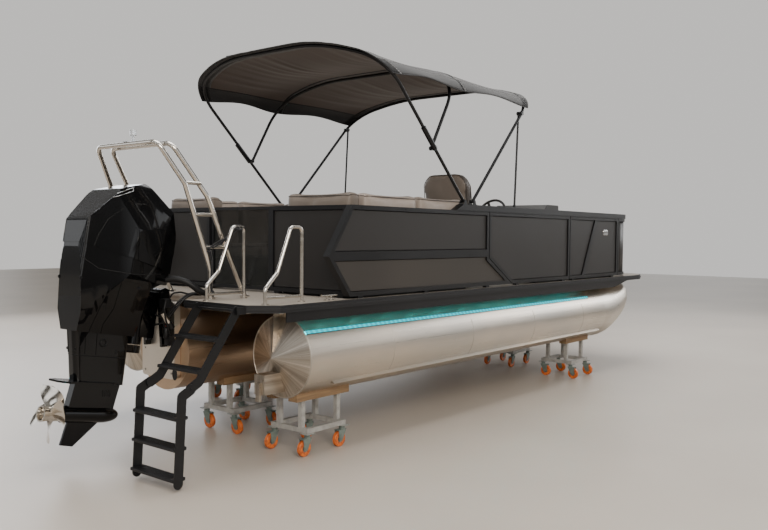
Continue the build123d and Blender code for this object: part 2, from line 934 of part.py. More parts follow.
def console():
    """The helm console: a pod on the deck with a sloping dash and a low screen."""
    outer = -(fence_inner - seat_clearance)
    inner = outer + console_width
    top = deck_z + console_height
    body = side_slab(
        poly(
            (console_aft_x + 60, deck_z), (console_forward_x, deck_z), (console_forward_x - 60, top),
            (console_forward_x - 330, top), (console_aft_x, top - 240), (console_aft_x, top - 330),
        ),
        inner, console_width,
    )
    body = fillet(body.edges().filter_by(Axis.Y).group_by(Axis.Z)[-1], 20)
    column_start = wheel_center - wheel_normal * 12
    column = rod(tuple(column_start - wheel_normal * 190), tuple(column_start), 38)
    return body + column


def helm_wheel():
    plane = Plane(origin=tuple(wheel_center), z_dir=tuple(wheel_normal))
    rim = plane.location * Torus(wheel_radius - wheel_rim_radius, wheel_rim_radius)
    hub = plane.location * Pos(0, 0, 2) * Cylinder(42, 24)
    body = rim + hub
    spoke_length = wheel_radius - wheel_rim_radius
    for turn in (90, 210, 330):
        spoke = plane.location * Rot(0, 0, turn) * Pos(spoke_length / 2, 0, 2) * Box(spoke_length, 30, 8)
        body = body + spoke
    return body


# Motor

tilt_x = transom_aft_x - tilt_axis_aft_of_transom
tilt_z = deck_z + tilt_axis_above_deck
prop_z = anti_vent_z - prop_axis_drop


def motor_place(shape):
    """Moves a piece from the motor's own frame to the boat, leaned back by its trim."""
    return Pos(tilt_x, 0, tilt_z) * Rot(0, motor_trim, 0) * shape


def motor_plan(half_width, front_x, rear_x):
    """The motor's head seen from above: blunt in front, widest before the middle, narrow behind."""
    outline = poly(
        (front_x, -half_width * 0.57), (front_x - 190, -half_width * 0.96), (front_x - 420, -half_width),
        (rear_x, -half_width * 0.53), (rear_x, half_width * 0.53), (front_x - 420, half_width),
        (front_x - 190, half_width * 0.96), (front_x, half_width * 0.57),
    )
    return fillet(outline.vertices(), 55)


def cowl_body(inset):
    """The cowl's outer form, or its hollow when inset by the wall."""
    profile = poly(
        (-20, cowl_front_z), (4, cowl_front_z + 275), (-95, cowl_top_z - 190), (-345, cowl_top_z),
        (-575, cowl_top_z - 90), (-cowl_length + 15, cowl_rear_z + 175), (-cowl_length, cowl_rear_z),
    )
    profile = fillet(profile.vertices().sort_by(Axis.Y)[2:], 60)
    plan = motor_plan(cowl_half_width, 4, -cowl_length)
    half = cowl_half_width
    front = poly(
        (-half + 8, cowl_front_z - 10), (-half, cowl_front_z + 280), (-half + 100, cowl_top_z + 5),
        (half - 100, cowl_top_z + 5), (half, cowl_front_z + 280), (half - 8, cowl_front_z - 10),
    )
    front = fillet(front.vertices().sort_by(Axis.Y)[2:], 80)
    if inset:
        profile = offset(profile, amount=-inset)
        plan = offset(plan, amount=-inset)
        front = offset(front, amount=-inset)
    side = side_slab(profile, half + 50, 2 * half + 100)
    above = Pos(0, 0, cowl_front_z - 50) * extrude(plan, amount=cowl_top_z)
    ahead = extrude(
        Plane(origin=(-cowl_length - 50, 0, 0), x_dir=(0, 1, 0), z_dir=(1, 0, 0)) * front,
        amount=cowl_length + 100,
    )
    return side & above & ahead


def cowl():
    """The cowl's skin, open underneath where it sits on the pan."""
    hollow = cowl_body(cowl_wall)
    return cowl_body(0) - hollow - Pos(0, 0, -3 * cowl_wall) * hollow


def engine_block():
    return block(-600, -170, -145, 145, cowl_rear_z + 10, cowl_rear_z + 330)


def motor_midsection():
    """The pan and apron under the cowl, the leg behind the swivel bracket and its anti-ventilation plate."""
    keep_clear = steer_axis_back + swivel_radius + 14
    rear = -cowl_length
    side = side_slab(
        poly(
            (-20, cowl_front_z), (rear, cowl_rear_z), (rear + 30, 40), (rear + 85, apron_z),
            (-keep_clear, apron_z), (-keep_clear, pan_z), (-35, pan_z),
        ),
        400, 800,
    )
    above = Pos(0, 0, apron_z - 1) * extrude(
        motor_plan(cowl_half_width - 12, -8, rear + 4), amount=cowl_rear_z - apron_z + 2
    )
    ahead = extrude(
        Plane(origin=(rear - 10, 0, 0), x_dir=(0, 1, 0), z_dir=(1, 0, 0))
        * poly((-290, 290), (-240, pan_z), (-105, apron_z), (105, apron_z), (240, pan_z), (290, 290)),
        amount=cowl_length + 40,
    )
    apron = side & above & ahead
    leg = side_slab(
        poly(
            (-keep_clear, apron_z), (rear + 95, apron_z), (rear + 175, anti_vent_z),
            (-keep_clear + 10, anti_vent_z),
        ),
        62, 124,
    )
    leg = fillet(leg.edges().filter_by(lambda e: abs((e % 0.5).Z) > 0.9), 40)
    plate_plan = poly(
        (-250, -45), (-330, -100), (-700, -125), (-760, -70), (-760, 70), (-700, 125), (-330, 100), (-250, 45)
    )
    plate = Pos(0, 0, anti_vent_z) * extrude(plate_plan, amount=14)
    arm_z = -bracket_depth - running_gap
    arm = Pos(-steer_axis_back, 0, arm_z - 30) * Cylinder(swivel_radius, 60)
    yoke = block(-keep_clear - 30, -steer_axis_back, -52, 52, arm_z - 60, arm_z)
    neck = Pos(-steer_axis_back, 0, (running_gap + pan_z) / 2) * Cylinder(swivel_radius, pan_z - running_gap)
    seat = block(-580, -190, -110, 110, cowl_front_z - 10, cowl_rear_z + 10)
    return apron + leg + plate + arm + yoke + neck + seat


def gearcase():
    """The torpedo with its skeg and the strut up to the anti-ventilation plate."""
    torpedo_end = torpedo_nose_x - torpedo_length
    nose_length_local = 150
    barrel = Pos((torpedo_nose_x - nose_length_local + torpedo_end) / 2, 0, prop_z) * Rot(0, 90, 0) * Cylinder(
        torpedo_radius, torpedo_length - nose_length_local
    )
    cone = Pos(torpedo_nose_x - nose_length_local, 0, prop_z) * scale(
        Sphere(torpedo_radius), by=(nose_length_local / torpedo_radius, 1, 1)
    )
    strut = side_slab(
        poly(
            (-235, anti_vent_z), (-610, anti_vent_z), (-640, prop_z), (-270, prop_z),
        ),
        34, 68,
    )
    skeg = side_slab(
        poly(
            (-300, prop_z), (-600, prop_z), (-640, prop_z - skeg_drop + 10), (-540, prop_z - skeg_drop),
        ),
        9, 18,
    )
    return barrel + cone + strut + skeg


# Radius share, chord, thickness, sweep round the hub, rake aft
blade_table = (
    (0.2, 104, 14, -12, 0),
    (0.5, 168, 10, 4, 10),
    (0.78, 176, 7, 30, 22),
    (0.98, 84, 4, 58, 34),
)


def blade_section(radius_share, chord, thickness, sweep, rake):
    """A blade's cross-section at one radius: a flat-backed lens set at the pitch there."""
    radius = radius_share * prop_radius
    pitch = atan2(blade_pitch, 2 * pi * radius)
    plane = Plane(
        origin=(-rake, sweep, radius), x_dir=(-sin(pitch), cos(pitch), 0), z_dir=(0, 0, 1)
    )
    back = ThreePointArc((-chord / 2, 0), (0, thickness), (chord / 2, 0))
    front = ThreePointArc((chord / 2, 0), (0, thickness * 0.25), (-chord / 2, 0))
    return plane * make_face([back, front])


def propeller():
    """A flared hub with raked, twisted blades lofted through their sections."""
    start = torpedo_nose_x - torpedo_length - prop_gap
    middle = start - prop_hub_length / 2
    profile = poly(
        (start, 0), (start, prop_hub_radius), (start - prop_hub_length * 0.7, prop_hub_radius),
        (start - prop_hub_length, prop_hub_radius * 1.12), (start - prop_hub_length, prop_hub_radius * 0.9),
        (start - prop_hub_length * 0.75, prop_hub_radius * 0.75), (start - prop_hub_length * 0.75, 0),
    )
    body = revolve(Plane.XZ * profile, axis=Axis.X)
    blade = loft([blade_section(*row) for row in blade_table])
    for number in range(blade_count):
        body = body + Pos(middle + prop_hub_length * 0.1, 0, 0) * Rot(360 * number / blade_count, 0, 0) * blade
    return Pos(0, 0, prop_z) * body


def transom_bracket():
    """Two cheek plates on the transom, with the tilt tube between them."""
    inner = swivel_half_width + clamp_gap
    outer = inner + clamp_thickness
    cheek_profile = poly(
        (tilt_axis_aft_of_transom, -bracket_depth), (-40, -bracket_depth), (-60, -120), (-48, 30), (-10, 46),
        (30, 30), (40, -40), (tilt_axis_aft_of_transom, -60),
    )
    cheek = side_slab(cheek_profile, -inner, clamp_thickness)
    tube = Rot(90, 0, 0) * Cylinder(tilt_tube_radius, 2 * outer)
    pieces = [cheek, to_port(cheek), tube]
    body = pieces[0] + pieces[1] + pieces[2]
    return Pos(tilt_x, 0, tilt_z) * body


def swivel_bracket():
    """The block that tilts on the tube and carries the steering pivot."""
    barrel = Rot(90, 0, 0) * Cylinder(34, 2 * swivel_half_width)
    body = block(-steer_axis_back, -20, -swivel_half_width + 20, swivel_half_width - 20, -bracket_depth + 60, -22)
    pivot = Pos(-steer_axis_back, 0, -bracket_depth / 2) * Cylinder(swivel_radius, bracket_depth)
    web = block(-steer_axis_back, 0, -50, 50, -60, 0)
    shape = barrel + body + pivot + web
    bore = Rot(90, 0, 0) * Cylinder(tilt_tube_radius + running_clearance, 4 * swivel_half_width)
    return shape - bore


# Stainless work

# Share of the rake and share of the height at each turn of a hoop
aft_hoop_table = ((0, 0), (0, 0.195), (0.576, 0.746), (1, 1))
forward_hoop_table = ((0, 0), (0.27, 0.3), (0.592, 0.67), (1, 1))
rung_shares = (0.34, 0.55, 0.75)


def hoop_side(foot_x, rake, table):
    """Turns of one side of a hoop, as x, z and how far the top leans inwards."""
    return [(foot_x - rake * across, tow_height * up, tow_top_inset if up == 1 else 0) for across, up in table]


def hoop_x_at(foot_x, rake, table, share):
    """Where a hoop's side stands at a share of its height."""
    for (across0, up0), (across1, up1) in zip(table, table[1:]):
        if up0 <= share <= up1:
            part = (share - up0) / (up1 - up0)
            return foot_x - rake * (across0 + part * (across1 - across0))
    raise ValueError(f"no side of the hoop at {share}")


def tow_bar():
    """Two hoops over the motor, joined by rungs down each side."""
    hoops = (
        (tow_aft_foot_x, tow_aft_rake, aft_hoop_table),
        (tow_forward_foot_x, tow_forward_rake, forward_hoop_table),
    )
    body = None
    for foot_x, rake, table in hoops:
        side = hoop_side(foot_x, rake, table)
        starboard = [(x, inset - tow_half_width, deck_z + z) for x, z, inset in side]
        port = [(x, tow_half_width - inset, deck_z + z) for x, z, inset in reversed(side)]
        hoop = bent_tube(starboard + port, tow_tube_radius, tow_bend)
        body = hoop if body is None else body + hoop
    for y in (-tow_half_width, tow_half_width):
        for share in rung_shares:
            ends = [(hoop_x_at(*hoop, share), y, deck_z + tow_height * share) for hoop in hoops]
            body = body + rod(*ends, tow_tube_radius * 0.7)
        for x in (tow_aft_foot_x, tow_forward_foot_x):
            body = body + Pos(x, y, deck_z + tow_flange_thickness / 2) * Cylinder(
                tow_flange_radius, tow_flange_thickness
            )
    below = 4 * tow_flange_radius
    return body - block(-2 * tow_height, 0, -2 * tow_height, 2 * tow_height, deck_z - below, deck_z)


def stern_light():
    """The all-round light on its stem above the tow bar."""
    aft_x = tow_aft_foot_x - tow_aft_rake
    fore_x = tow_forward_foot_x - tow_forward_rake
    middle = (aft_x + fore_x) / 2
    base_z = deck_z + tow_height + tow_tube_radius
    plate = block(aft_x - 10, fore_x + 10, -28, 28, base_z, base_z + 6)
    stem = Pos(middle, 0, base_z + light_stem_height / 2) * Cylinder(9, light_stem_height)
    lamp = Pos(middle, 0, base_z + light_stem_height + 16) * Cylinder(26, 44)
    lamp = fillet(lamp.edges(), 6)
    return plate + stem + lamp


def handrail(aft_x, y):
    fore_x = aft_x + handrail_length
    top = deck_z + handrail_height
    loop = bent_tube(
        [
            (aft_x, y, deck_z), (aft_x, y, deck_z + handrail_height * 0.2),
            (aft_x + handrail_length * 0.32, y, deck_z + handrail_height * 0.4),
            (aft_x + handrail_length * 0.69, y, top), (fore_x, y, top), (fore_x, y, deck_z),
        ],
        handrail_radius, handrail_bend,
    )
    low_z = deck_z + handrail_height * 0.086
    body = loop + rod((aft_x, y, low_z), (fore_x, y, low_z), handrail_radius * 0.8)
    for x in (aft_x, fore_x):
        body = body + Pos(x, y, deck_z + 3) * Cylinder(handrail_radius * 2, 6)
    half = 2 * handrail_length
    return body - block(aft_x - half, fore_x + half, y - half, y + half, deck_z - half, deck_z)


def handrails():
    outer = handrail(handrail_outer_x, handrail_outer_y)
    inner = handrail(handrail_inner_x, handrail_inner_y)
    return Compound(children=[*outer.solids(), *inner.solids()])


# Ladder

ladder_hinge = (ladder_hinge_x, deck_z + ladder_hinge_z)
ladder_fold = (ladder_fold_x, deck_z + ladder_fold_z)
ladder_end = (ladder_fold_x - 105, ladder_foot_clearance)


def rail_strip(points, width):
    """A flat rail along points in x and z, as wide as width."""
    strip = None
    for (x0, z0), (x1, z1) in zip(points, points[1:]):
        length = hypot(x1 - x0, z1 - z0)
        turn = degrees(atan2(z1 - z0, x1 - x0))
        piece = Pos((x0 + x1) / 2, (z0 + z1) / 2) * Rot(0, 0, turn) * SlotOverall(length + width, width)
        strip = piece if strip is None else strip + piece
    return strip


def ladder_rails(points, outer_half):
    strip = rail_strip(points, ladder_rail_width)
    rails = []
    for y in (ladder_center_y + outer_half, ladder_center_y - outer_half + ladder_rail_thickness):
        rails.append(side_slab(strip, y, ladder_rail_thickness))
    return rails


def step(x, z, half):
    tread = Pos(x, ladder_center_y, z) * Box(step_depth, 2 * half, step_thickness)
    return fillet(tread.edges().filter_by(Axis.Y), 8)


def ladder_bracket():
    """The hinge bracket on the edge of the platform."""
    hinge_x, hinge_z = ladder_hinge
    face = platform_aft_x - rub_rail_thickness - rub_bead_depth
    pieces = []
    for side in (-1, 1):
        y = ladder_center_y + side * (ladder_width / 2 + 16)
        ear = side_slab(
            poly((face, hinge_z - 26), (face, hinge_z + 26), (hinge_x - 20, hinge_z + 26), (hinge_x - 20, hinge_z - 26)),
            y + 6, 12,
        )
        pieces.append(ear)
    bar = rod(
        (hinge_x, ladder_center_y - ladder_width / 2 - 20, hinge_z),
        (hinge_x, ladder_center_y + ladder_width / 2 + 20, hinge_z),
        ladder_pin_radius,
    )
    body = bar
    for piece in pieces:
        body = body + piece
    return body


def ladder_upper():
    hinge_x, hinge_z = ladder_hinge
    fold_x, fold_z = ladder_fold
    knee = (fold_x + 75, fold_z + 40)
    half = ladder_width / 2
    body = None
    for rail in ladder_rails([ladder_hinge, knee, ladder_fold], half):
        body = rail if body is None else body + rail
    for share in (0.42, 0.86):
        x = hinge_x + share * (knee[0] - hinge_x)
        z = hinge_z + share * (knee[1] - hinge_z)
        body = body + step(x - 14, z, half)
    for x, z in (ladder_hinge, ladder_fold):
        body = body - rod(
            (x, ladder_center_y - half - 20, z), (x, ladder_center_y + half + 20, z),
            ladder_pin_radius + running_clearance,
        )
    return body


def ladder_lower():
    fold_x, fold_z = ladder_fold
    end_x, end_z = ladder_end
    half = ladder_width / 2 + ladder_rail_thickness + 3
    reach = ladder_rail_width / 2
    jog = (fold_x - ladder_jog, fold_z - ladder_jog / 2)
    body = None
    for rail in ladder_rails([ladder_fold, jog, (end_x, end_z + reach)], half):
        body = rail if body is None else body + rail
    for share in (0.25, 0.6, 0.95):
        x = jog[0] + share * (end_x - jog[0])
        z = jog[1] + share * (end_z + reach - jog[1])
        body = body + step(x, z, half)
    for side in (-1, 1):
        y = ladder_center_y + side * (half - ladder_rail_thickness - 5)
        body = body + rod((fold_x, y - 8, fold_z), (fold_x, y + 8, fold_z), ladder_pin_radius)
    return body


# Sun top

def bow_points(foot_x, top_x, half, top_z, crown_z):
    """Route of a bow: up one side, over the cambered top and down the other."""
    lean = (top_x - foot_x) / (top_z - foot_z)
    crown_x = foot_x + lean * (crown_z - foot_z)
    return [
        (foot_x, -half, foot_z), (top_x, -half, top_z), (crown_x, -half / 2, crown_z),
        (crown_x, half / 2, crown_z), (top_x, half, top_z), (foot_x, half, foot_z),
    ]


def bow_with_eyes(foot_x, top_x, half, top_z, crown_z):
    body = bent_tube(bow_points(foot_x, top_x, half, top_z, crown_z), bimini_tube_radius, bow_bends)
    for y in (-half, half):
        eye = Pos(foot_x, y, foot_z) * Rot(90, 0, 0) * Cylinder(bimini_tube_radius + 1, 36)
        body = body + eye
    for y in (-half, half):
        body = body - Pos(foot_x, y, foot_z) * Rot(90, 0, 0) * Cylinder(bow_pin_radius + running_clearance, 60)
    return body


def jaw_pins(x, z):
    """Slide jaws on a bow's legs, each with a pin that reaches inwards through the next piece's eye."""
    jaw = Pos(x, -bimini_half_width, z) * Rot(90, 0, 0) * Cylinder(eye_radius + 3, 2 * bimini_tube_radius - 4)
    reach = mid_bow_inset + eye_radius
    pin = Pos(x, -bimini_half_width + reach / 2, z) * Rot(90, 0, 0) * Cylinder(jaw_pin_radius, reach)
    return jaw + pin


def with_eyes(body, x, z):
    """Round eyes at both ends of a piece that hangs on jaw pins."""
    for y in (-mid_bow_half, mid_bow_half):
        body = body + Pos(x, y, z) * Rot(90, 0, 0) * Cylinder(eye_radius, 2 * bimini_tube_radius - 3)
    for y in (-mid_bow_half, mid_bow_half):
        hole = Cylinder(jaw_pin_radius + running_clearance, 4 * bimini_tube_radius)
        body = body - Pos(x, y, z) * Rot(90, 0, 0) * hole
    return body


def bimini_aft_bow():
    body = bow_with_eyes(bimini_aft_foot_x, bimini_aft_top_x, bimini_half_width, canvas_z, crown_top_z)
    jaw = jaw_pins(*clamp_point())
    return body + jaw + to_port(jaw)


def bimini_fore_bow():
    body = bow_with_eyes(bimini_fore_foot_x, bimini_fore_top_x, bimini_half_width, canvas_z, crown_top_z)
    jaw = jaw_pins(*strut_top())
    return body + jaw + to_port(jaw)


def clamp_point():
    """Where the middle bow hangs on the aft bow, as x and z."""
    share = bimini_clamp_share
    x = bimini_aft_foot_x + share * (bimini_aft_top_x - bimini_aft_foot_x)
    z = foot_z + share * (canvas_z - foot_z)
    return x, z


def bimini_mid_bow():
    x, z = clamp_point()
    lean = (bimini_mid_top_x - x) / (canvas_z - z)
    crown_x = x + lean * (crown_top_z - z)
    half = mid_bow_half
    route = [
        (x, -half, z), (bimini_mid_top_x, -half, canvas_z), (crown_x, -half / 2, crown_top_z),
        (crown_x, half / 2, crown_top_z), (bimini_mid_top_x, half, canvas_z), (x, half, z),
    ]
    return with_eyes(bent_tube(route, bimini_tube_radius, bow_bends), x, z)


def bimini_struts():
    """Two straight legs from the fore bow down to the cap."""
    top_x, top_z = strut_top()
    y = mid_bow_half
    body = rod((top_x, -y, top_z), (strut_foot_x, -y, cap_z + strut_foot_lift), strut_radius)
    foot = Pos(strut_foot_x, -y, cap_z + strut_foot_lift) * Rot(90, 0, 0) * Cylinder(strut_radius + 3, 18)
    body = body + foot
    return with_eyes(body + to_port(body), top_x, top_z)


strut_share = 0.84


def strut_top():
    x = bimini_fore_foot_x + strut_share * (bimini_fore_top_x - bimini_fore_foot_x)
    z = foot_z + strut_share * (canvas_z - foot_z)
    return x, z


def canvas_arch(grow):
    """The canvas seen along the aft bow's plane, outside the bows by grow."""
    length = hypot(bimini_aft_top_x - bimini_aft_foot_x, canvas_z - foot_z)
    crown = length * (crown_top_z - foot_z) / (canvas_z - foot_z)
    bend = bimini_bend + grow
    half = bimini_half_width + grow
    low = length - 2 * bend
    route = FilletPolyline(
        (-half, low), (-half, length + grow * 0.8), (-half / 2, crown + grow), (half / 2, crown + grow),
        (half, length + grow * 0.8), (half, low),
        radius=[turn + grow for turn in bow_bends],
    )
    return make_face([route, Line((half, low), (-half, low))])


def bimini_canvas():
    """The stretched top: an arched sheet from the aft bow over the middle bow to the fore bow."""
    run = bimini_aft_top_x - bimini_aft_foot_x
    rise = canvas_z - foot_z
    lift = bimini_tube_radius + canvas_slack
    length = hypot(run, rise)
    band = canvas_arch(lift + canvas_thickness) - canvas_arch(lift)
    band = band - Pos(0, length / 2 - canvas_valance) * Rectangle(4 * bimini_half_width, length)
    start = Plane(
        origin=(bimini_aft_foot_x - canvas_overhang, 0, foot_z), x_dir=(0, 1, 0), z_dir=(rise, 0, -run)
    )
    sheet = extrude(start * band, amount=2 * (bimini_fore_top_x - bimini_aft_top_x), dir=(1, 0, 0))
    lean = (bimini_fore_top_x - bimini_fore_foot_x) / rise
    low = foot_z
    high = crown_top_z + length
    fore_x = bimini_fore_foot_x + canvas_overhang
    aft_x = 2 * bimini_aft_top_x - bimini_aft_foot_x
    span = poly((aft_x, low), (fore_x, low), (fore_x + lean * (high - low), high), (aft_x, high))
    return sheet & side_slab(span, 2 * bimini_half_width, 4 * bimini_half_width)


# Fittings

def cleat(x, y):
    half = cleat_length / 2
    body = block(x - half * 0.53, x + half * 0.53, y - 16, y + 16, deck_z, deck_z + 6)
    for side in (-1, 1):
        post_x = x + side * half * 0.26
        body = body + rod((post_x, y, deck_z), (post_x, y, deck_z + cleat_height), cleat_radius)
    return body + rod((x - half, y, deck_z + cleat_height), (x + half, y, deck_z + cleat_height), cleat_radius)


def cleats():
    """Mooring cleats at the corners of the deck."""
    pieces = []
    places = (
        (cleat_stern_x, cleat_edge_inset - deck_half),
        (deck_bow_x - cleat_bow_inset, cleat_bow_edge_inset - deck_half),
    )
    for x, y in places:
        piece = cleat(x, y)
        pieces.extend([*piece.solids(), *to_port(piece).solids()])
    return Compound(children=pieces)


def docking_lights():
    """Lamps let into the forward ends of the bow sections."""
    x = docking_light_x
    z = deck_z + docking_light_height
    half = docking_light_length / 2
    tall = docking_light_width / 2
    lamp = block(x - half, x + half, -(fence_face - 8), -(fence_face - fence_pocket), z - tall, z + tall)
    lamp = fillet(lamp.edges().filter_by(Axis.Y), tall * 0.6)
    return both_sides(lamp)


def transducer_bracket():
    """A boxed bracket under the starboard tail cone, with the sounder below it."""
    x = tube_aft_x - 160
    z = tube_z - 110
    plate = block(x - 70, tube_aft_x + 40, -tube_spacing - 55, -tube_spacing + 55, z - 150, z)
    hollow = block(x - 62, x + 200, -tube_spacing - 47, -tube_spacing + 47, z - 200, z - 8)
    tube = tube_cylinder(-tube_spacing, tube_radius, tube_aft_x, nose_start_x)
    tail_plane = Plane(origin=(tube_aft_x, -tube_spacing, tube_z), z_dir=(-1, 0, 0))
    tail = loft([tail_plane * Circle(tube_radius), tail_plane.offset(tail_cone_length) * Circle(4)])
    sounder = block(x - 90, x - 70, -tube_spacing - 22, -tube_spacing + 22, z - 200, z - 60)
    return (plate - hollow - tube - tail) + sounder


# Dollies

# Place of each dolly and which way its casters roll: x, y, rolls along x
dolly_table = (
    (-160, -tube_spacing, True),
    (-60, 0, False),
    (870, tube_spacing, True),
    (4360, -tube_spacing, False),
    (4650, 0, True),
    (4560, tube_spacing, False),
)


def caster_corners(x, y, rolls_x):
    """Stem places of a dolly's four casters, as two pairs that share an axle line."""
    dx = dolly_length / 2 - caster_inset
    dy = dolly_width / 2 - caster_inset
    if rolls_x:
        return [[(x - dx, y - dy), (x - dx, y + dy)], [(x + dx, y - dy), (x + dx, y + dy)]]
    return [[(x - dx, y - dy), (x + dx, y - dy)], [(x - dx, y + dy), (x + dx, y + dy)]]


def trail(rolls_x):
    return (-caster_trail, 0) if rolls_x else (0, -caster_trail)


def caster_fork(stem_x, stem_y, rolls_x):
    """A caster's top plate, its stem and the two cheeks that hold the wheel."""
    top = dolly_lift
    back_x, back_y = trail(rolls_x)
    arch_z = 2 * caster_radius + fork_gap + 4
    inner = caster_width / 2 + fork_gap
    plate = Pos(0, 0, top - 3) * Box(86, 86, 6)
    bearing = Pos(0, 0, (top - 6 + arch_z) / 2) * Cylinder(24, top - 6 - arch_z)
    crown = Pos(-caster_trail / 2, 0, arch_z + fork_thickness / 2) * Box(
        caster_trail + 60, 2 * inner + 2 * fork_thickness, fork_thickness
    )
    body = plate + bearing + crown
    for side in (-1, 1):
        y_near = side * inner + (fork_thickness if side > 0 else 0)
        cheek = side_slab(
            poly(
                (-caster_trail / 2 - 44, arch_z + fork_thickness), (-caster_trail / 2 + 44, arch_z + fork_thickness),
                (-caster_trail + 18, caster_radius - 16), (-caster_trail - 18, caster_radius - 16),
            ),
            y_near, fork_thickness,
        )
        body = body + cheek
    axle = Pos(-caster_trail, 0, caster_radius) * Rot(90, 0, 0) * Cylinder(6, 2 * inner + 2 * fork_thickness + 8)
    body = body + axle
    turn = 0 if rolls_x else 90
    return Pos(stem_x, stem_y, 0) * Rot(0, 0, turn) * body


def dolly_frame(x, y, rolls_x):
    """A square of tube on casters, with a post at each corner and a cross rail under each pad."""
    half_x = dolly_length / 2
    half_y = dolly_width / 2
    t = dolly_tube
    z0 = dolly_lift
    body = block(x - half_x, x + half_x, y - half_y, y + half_y, z0, z0 + t)
    body = body - block(x - half_x + t, x + half_x - t, y - half_y + t, y + half_y - t, z0 - 1, z0 + t + 1)
    for px in (x - half_x + t / 2, x + half_x - t / 2):
        for side in (-1, 1):
            py = y + side * pad_offset
            body = body + block(px - t / 2, px + t / 2, py - t / 2, py + t / 2, z0, pad_seat(side)[1])
            body = body + block(px - t / 2, px + t / 2, y + side * (half_y - t), py, z0, z0 + t)
    return body


def pad_seat(side):
    """Where a pad's underside sits: its distance from the tube's centre line and its height."""
    depth = pad_thickness
    surface = tube_z - sqrt(tube_radius ** 2 - pad_offset ** 2)
    return pad_offset, surface - depth


pad_thickness = 40


def dolly_pads():
    """Timber bearers along the tubes, cut to their curve."""
    pieces = []
    for x, y, _ in dolly_table:
        for side in (-1, 1):
            center_y = y + side * pad_offset
            _, z = pad_seat(side)
            timber = block(
                x - pad_length / 2, min(x + pad_length / 2, nose_start_x), center_y - pad_width / 2, center_y + pad_width / 2,
                z, z + 2 * pad_thickness,
            )
            timber = timber - tube_cylinder(y, tube_radius, x - pad_length, x + pad_length)
            pieces.extend(timber.solids())
    return Compound(children=pieces)


def dolly_frames():
    """Each dolly's frame with its four caster forks."""
    pieces = []
    for x, y, rolls_x in dolly_table:
        body = dolly_frame(x, y, rolls_x)
        for pair in caster_corners(x, y, rolls_x):
            for stem_x, stem_y in pair:
                body = body + caster_fork(stem_x, stem_y, rolls_x)
        pieces.extend(body.solids())
    return Compound(children=pieces)


def caster_wheels(pair, rolls_x):
    """Two wheels on one axle line."""
    back_x, back_y = trail(rolls_x)
    pieces = []
    for stem_x, stem_y in pair:
        wheel = Cylinder(caster_radius, caster_width)
        wheel = fillet(wheel.edges(), 6)
        wheel = wheel - Cylinder(6 + running_clearance, 2 * caster_width)
        upright = Rot(90, 0, 0) if rolls_x else Rot(0, 90, 0)
        placed = Pos(stem_x + back_x, stem_y + back_y, caster_radius) * upright * wheel
        pieces.extend(placed.solids())
    return Compound(children=pieces)


# Helm places, needed by the console and its wheel
chair_seat_z = deck_z + chair_seat_height
wheel_center = Vector(console_aft_x - wheel_offset, chair_y, deck_z + wheel_height)
wheel_normal = Vector(-cos(radians(wheel_lean)), 0, sin(radians(wheel_lean)))

outer_tube = outer_pontoon()
starboard_skirt = side_skirt()
starboard_led = led_strip()
starboard_aft = fence_starboard_aft()
starboard_fore = fence_starboard_fore()

parts = {
    "pontoon_starboard": Pos(0, -tube_spacing, 0) * outer_tube,
    "pontoon_port": Pos(0, tube_spacing, 0) * outer_tube,
    "pontoon_center": pontoon_center(),
    "crossmembers": crossmembers(),
    "deck": deck(),
    "rub_rail": rub_rail(),
    "side_skirts": both_sides(starboard_skirt),
    "lamps": Compound(children=[*both_sides(starboard_led).solids(), *docking_lights().solids()]),
    "fence_starboard_aft": starboard_aft,
    "fence_starboard_fore": starboard_fore,
    "fence_port_aft": to_port(starboard_aft),
    "fence_port_fore": to_port(starboard_fore),
    "fence_stern": fence_stern(),
    "fence_bow": fence_bow(),
    "cap_rails": cap_rails(),
    "stern_gate_frame": stern_gate_frame(),
    "stern_gate_pane": stern_gate_pane(),
    "bow_gate": bow_gate(),
    "seat_bases": seat_bases(),
    "lounge_starboard": lounge_starboard(),
    "lounge_port": lounge_port(),
    "bow_lounges": bow_lounges(),
    "chair_pedestal": chair_pedestal(),
    "chair_seat": chair_seat(),
    "console": console(),
    "helm_wheel": helm_wheel(),
    "transom_bracket": transom_bracket(),
    "swivel_bracket": motor_place(swivel_bracket()),
    "motor_midsection": motor_place(motor_midsection()),
    "motor_cowl": motor_place(cowl()),
    "engine_block": motor_place(engine_block()),
    "gearcase": motor_place(gearcase()),
    "propeller": motor_place(propeller()),
    "tow_bar": tow_bar(),
    "stern_light": stern_light(),
    "handrails": handrails(),
    "ladder_bracket": ladder_bracket(),
    "ladder_upper": ladder_upper(),
    "ladder_lower": ladder_lower(),
    "bimini_aft_bow": bimini_aft_bow(),
    "bimini_mid_bow": bimini_mid_bow(),
    "bimini_fore_bow": bimini_fore_bow(),
    "bimini_struts": bimini_struts(),
    "bimini_canvas": bimini_canvas(),
    "cleats": cleats(),
    "transducer_bracket": transducer_bracket(),
    "dolly_frames": dolly_frames(),
    "dolly_pads": dolly_pads(),
}
for number, (x, y, rolls_x) in enumerate(dolly_table, start=1):
    for letter, pair in zip("ab", caster_corners(x, y, rolls_x)):
        parts[f"caster_wheels_{number}{letter}"] = caster_wheels(pair, rolls_x)

# The origin is under the middle of the whole, so every piece moves by the same amount
low_x = min(shape.bounding_box().min.X for shape in parts.values())
high_x = max(shape.bounding_box().max.X for shape in parts.values())
middle_x = (low_x + high_x) / 2
print(f"middle_x {middle_x:.4f} low {low_x:.2f} high {high_x:.2f}")

os.makedirs("parts", exist_ok=True)
for name, shape in parts.items():
    export_step(Pos(-middle_x, 0, 0) * shape, f"parts/{name}.step")
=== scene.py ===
import math
import random

import bmesh
import bpy
from mathutils import Matrix, Vector
from mathutils.bvhtree import BVHTree


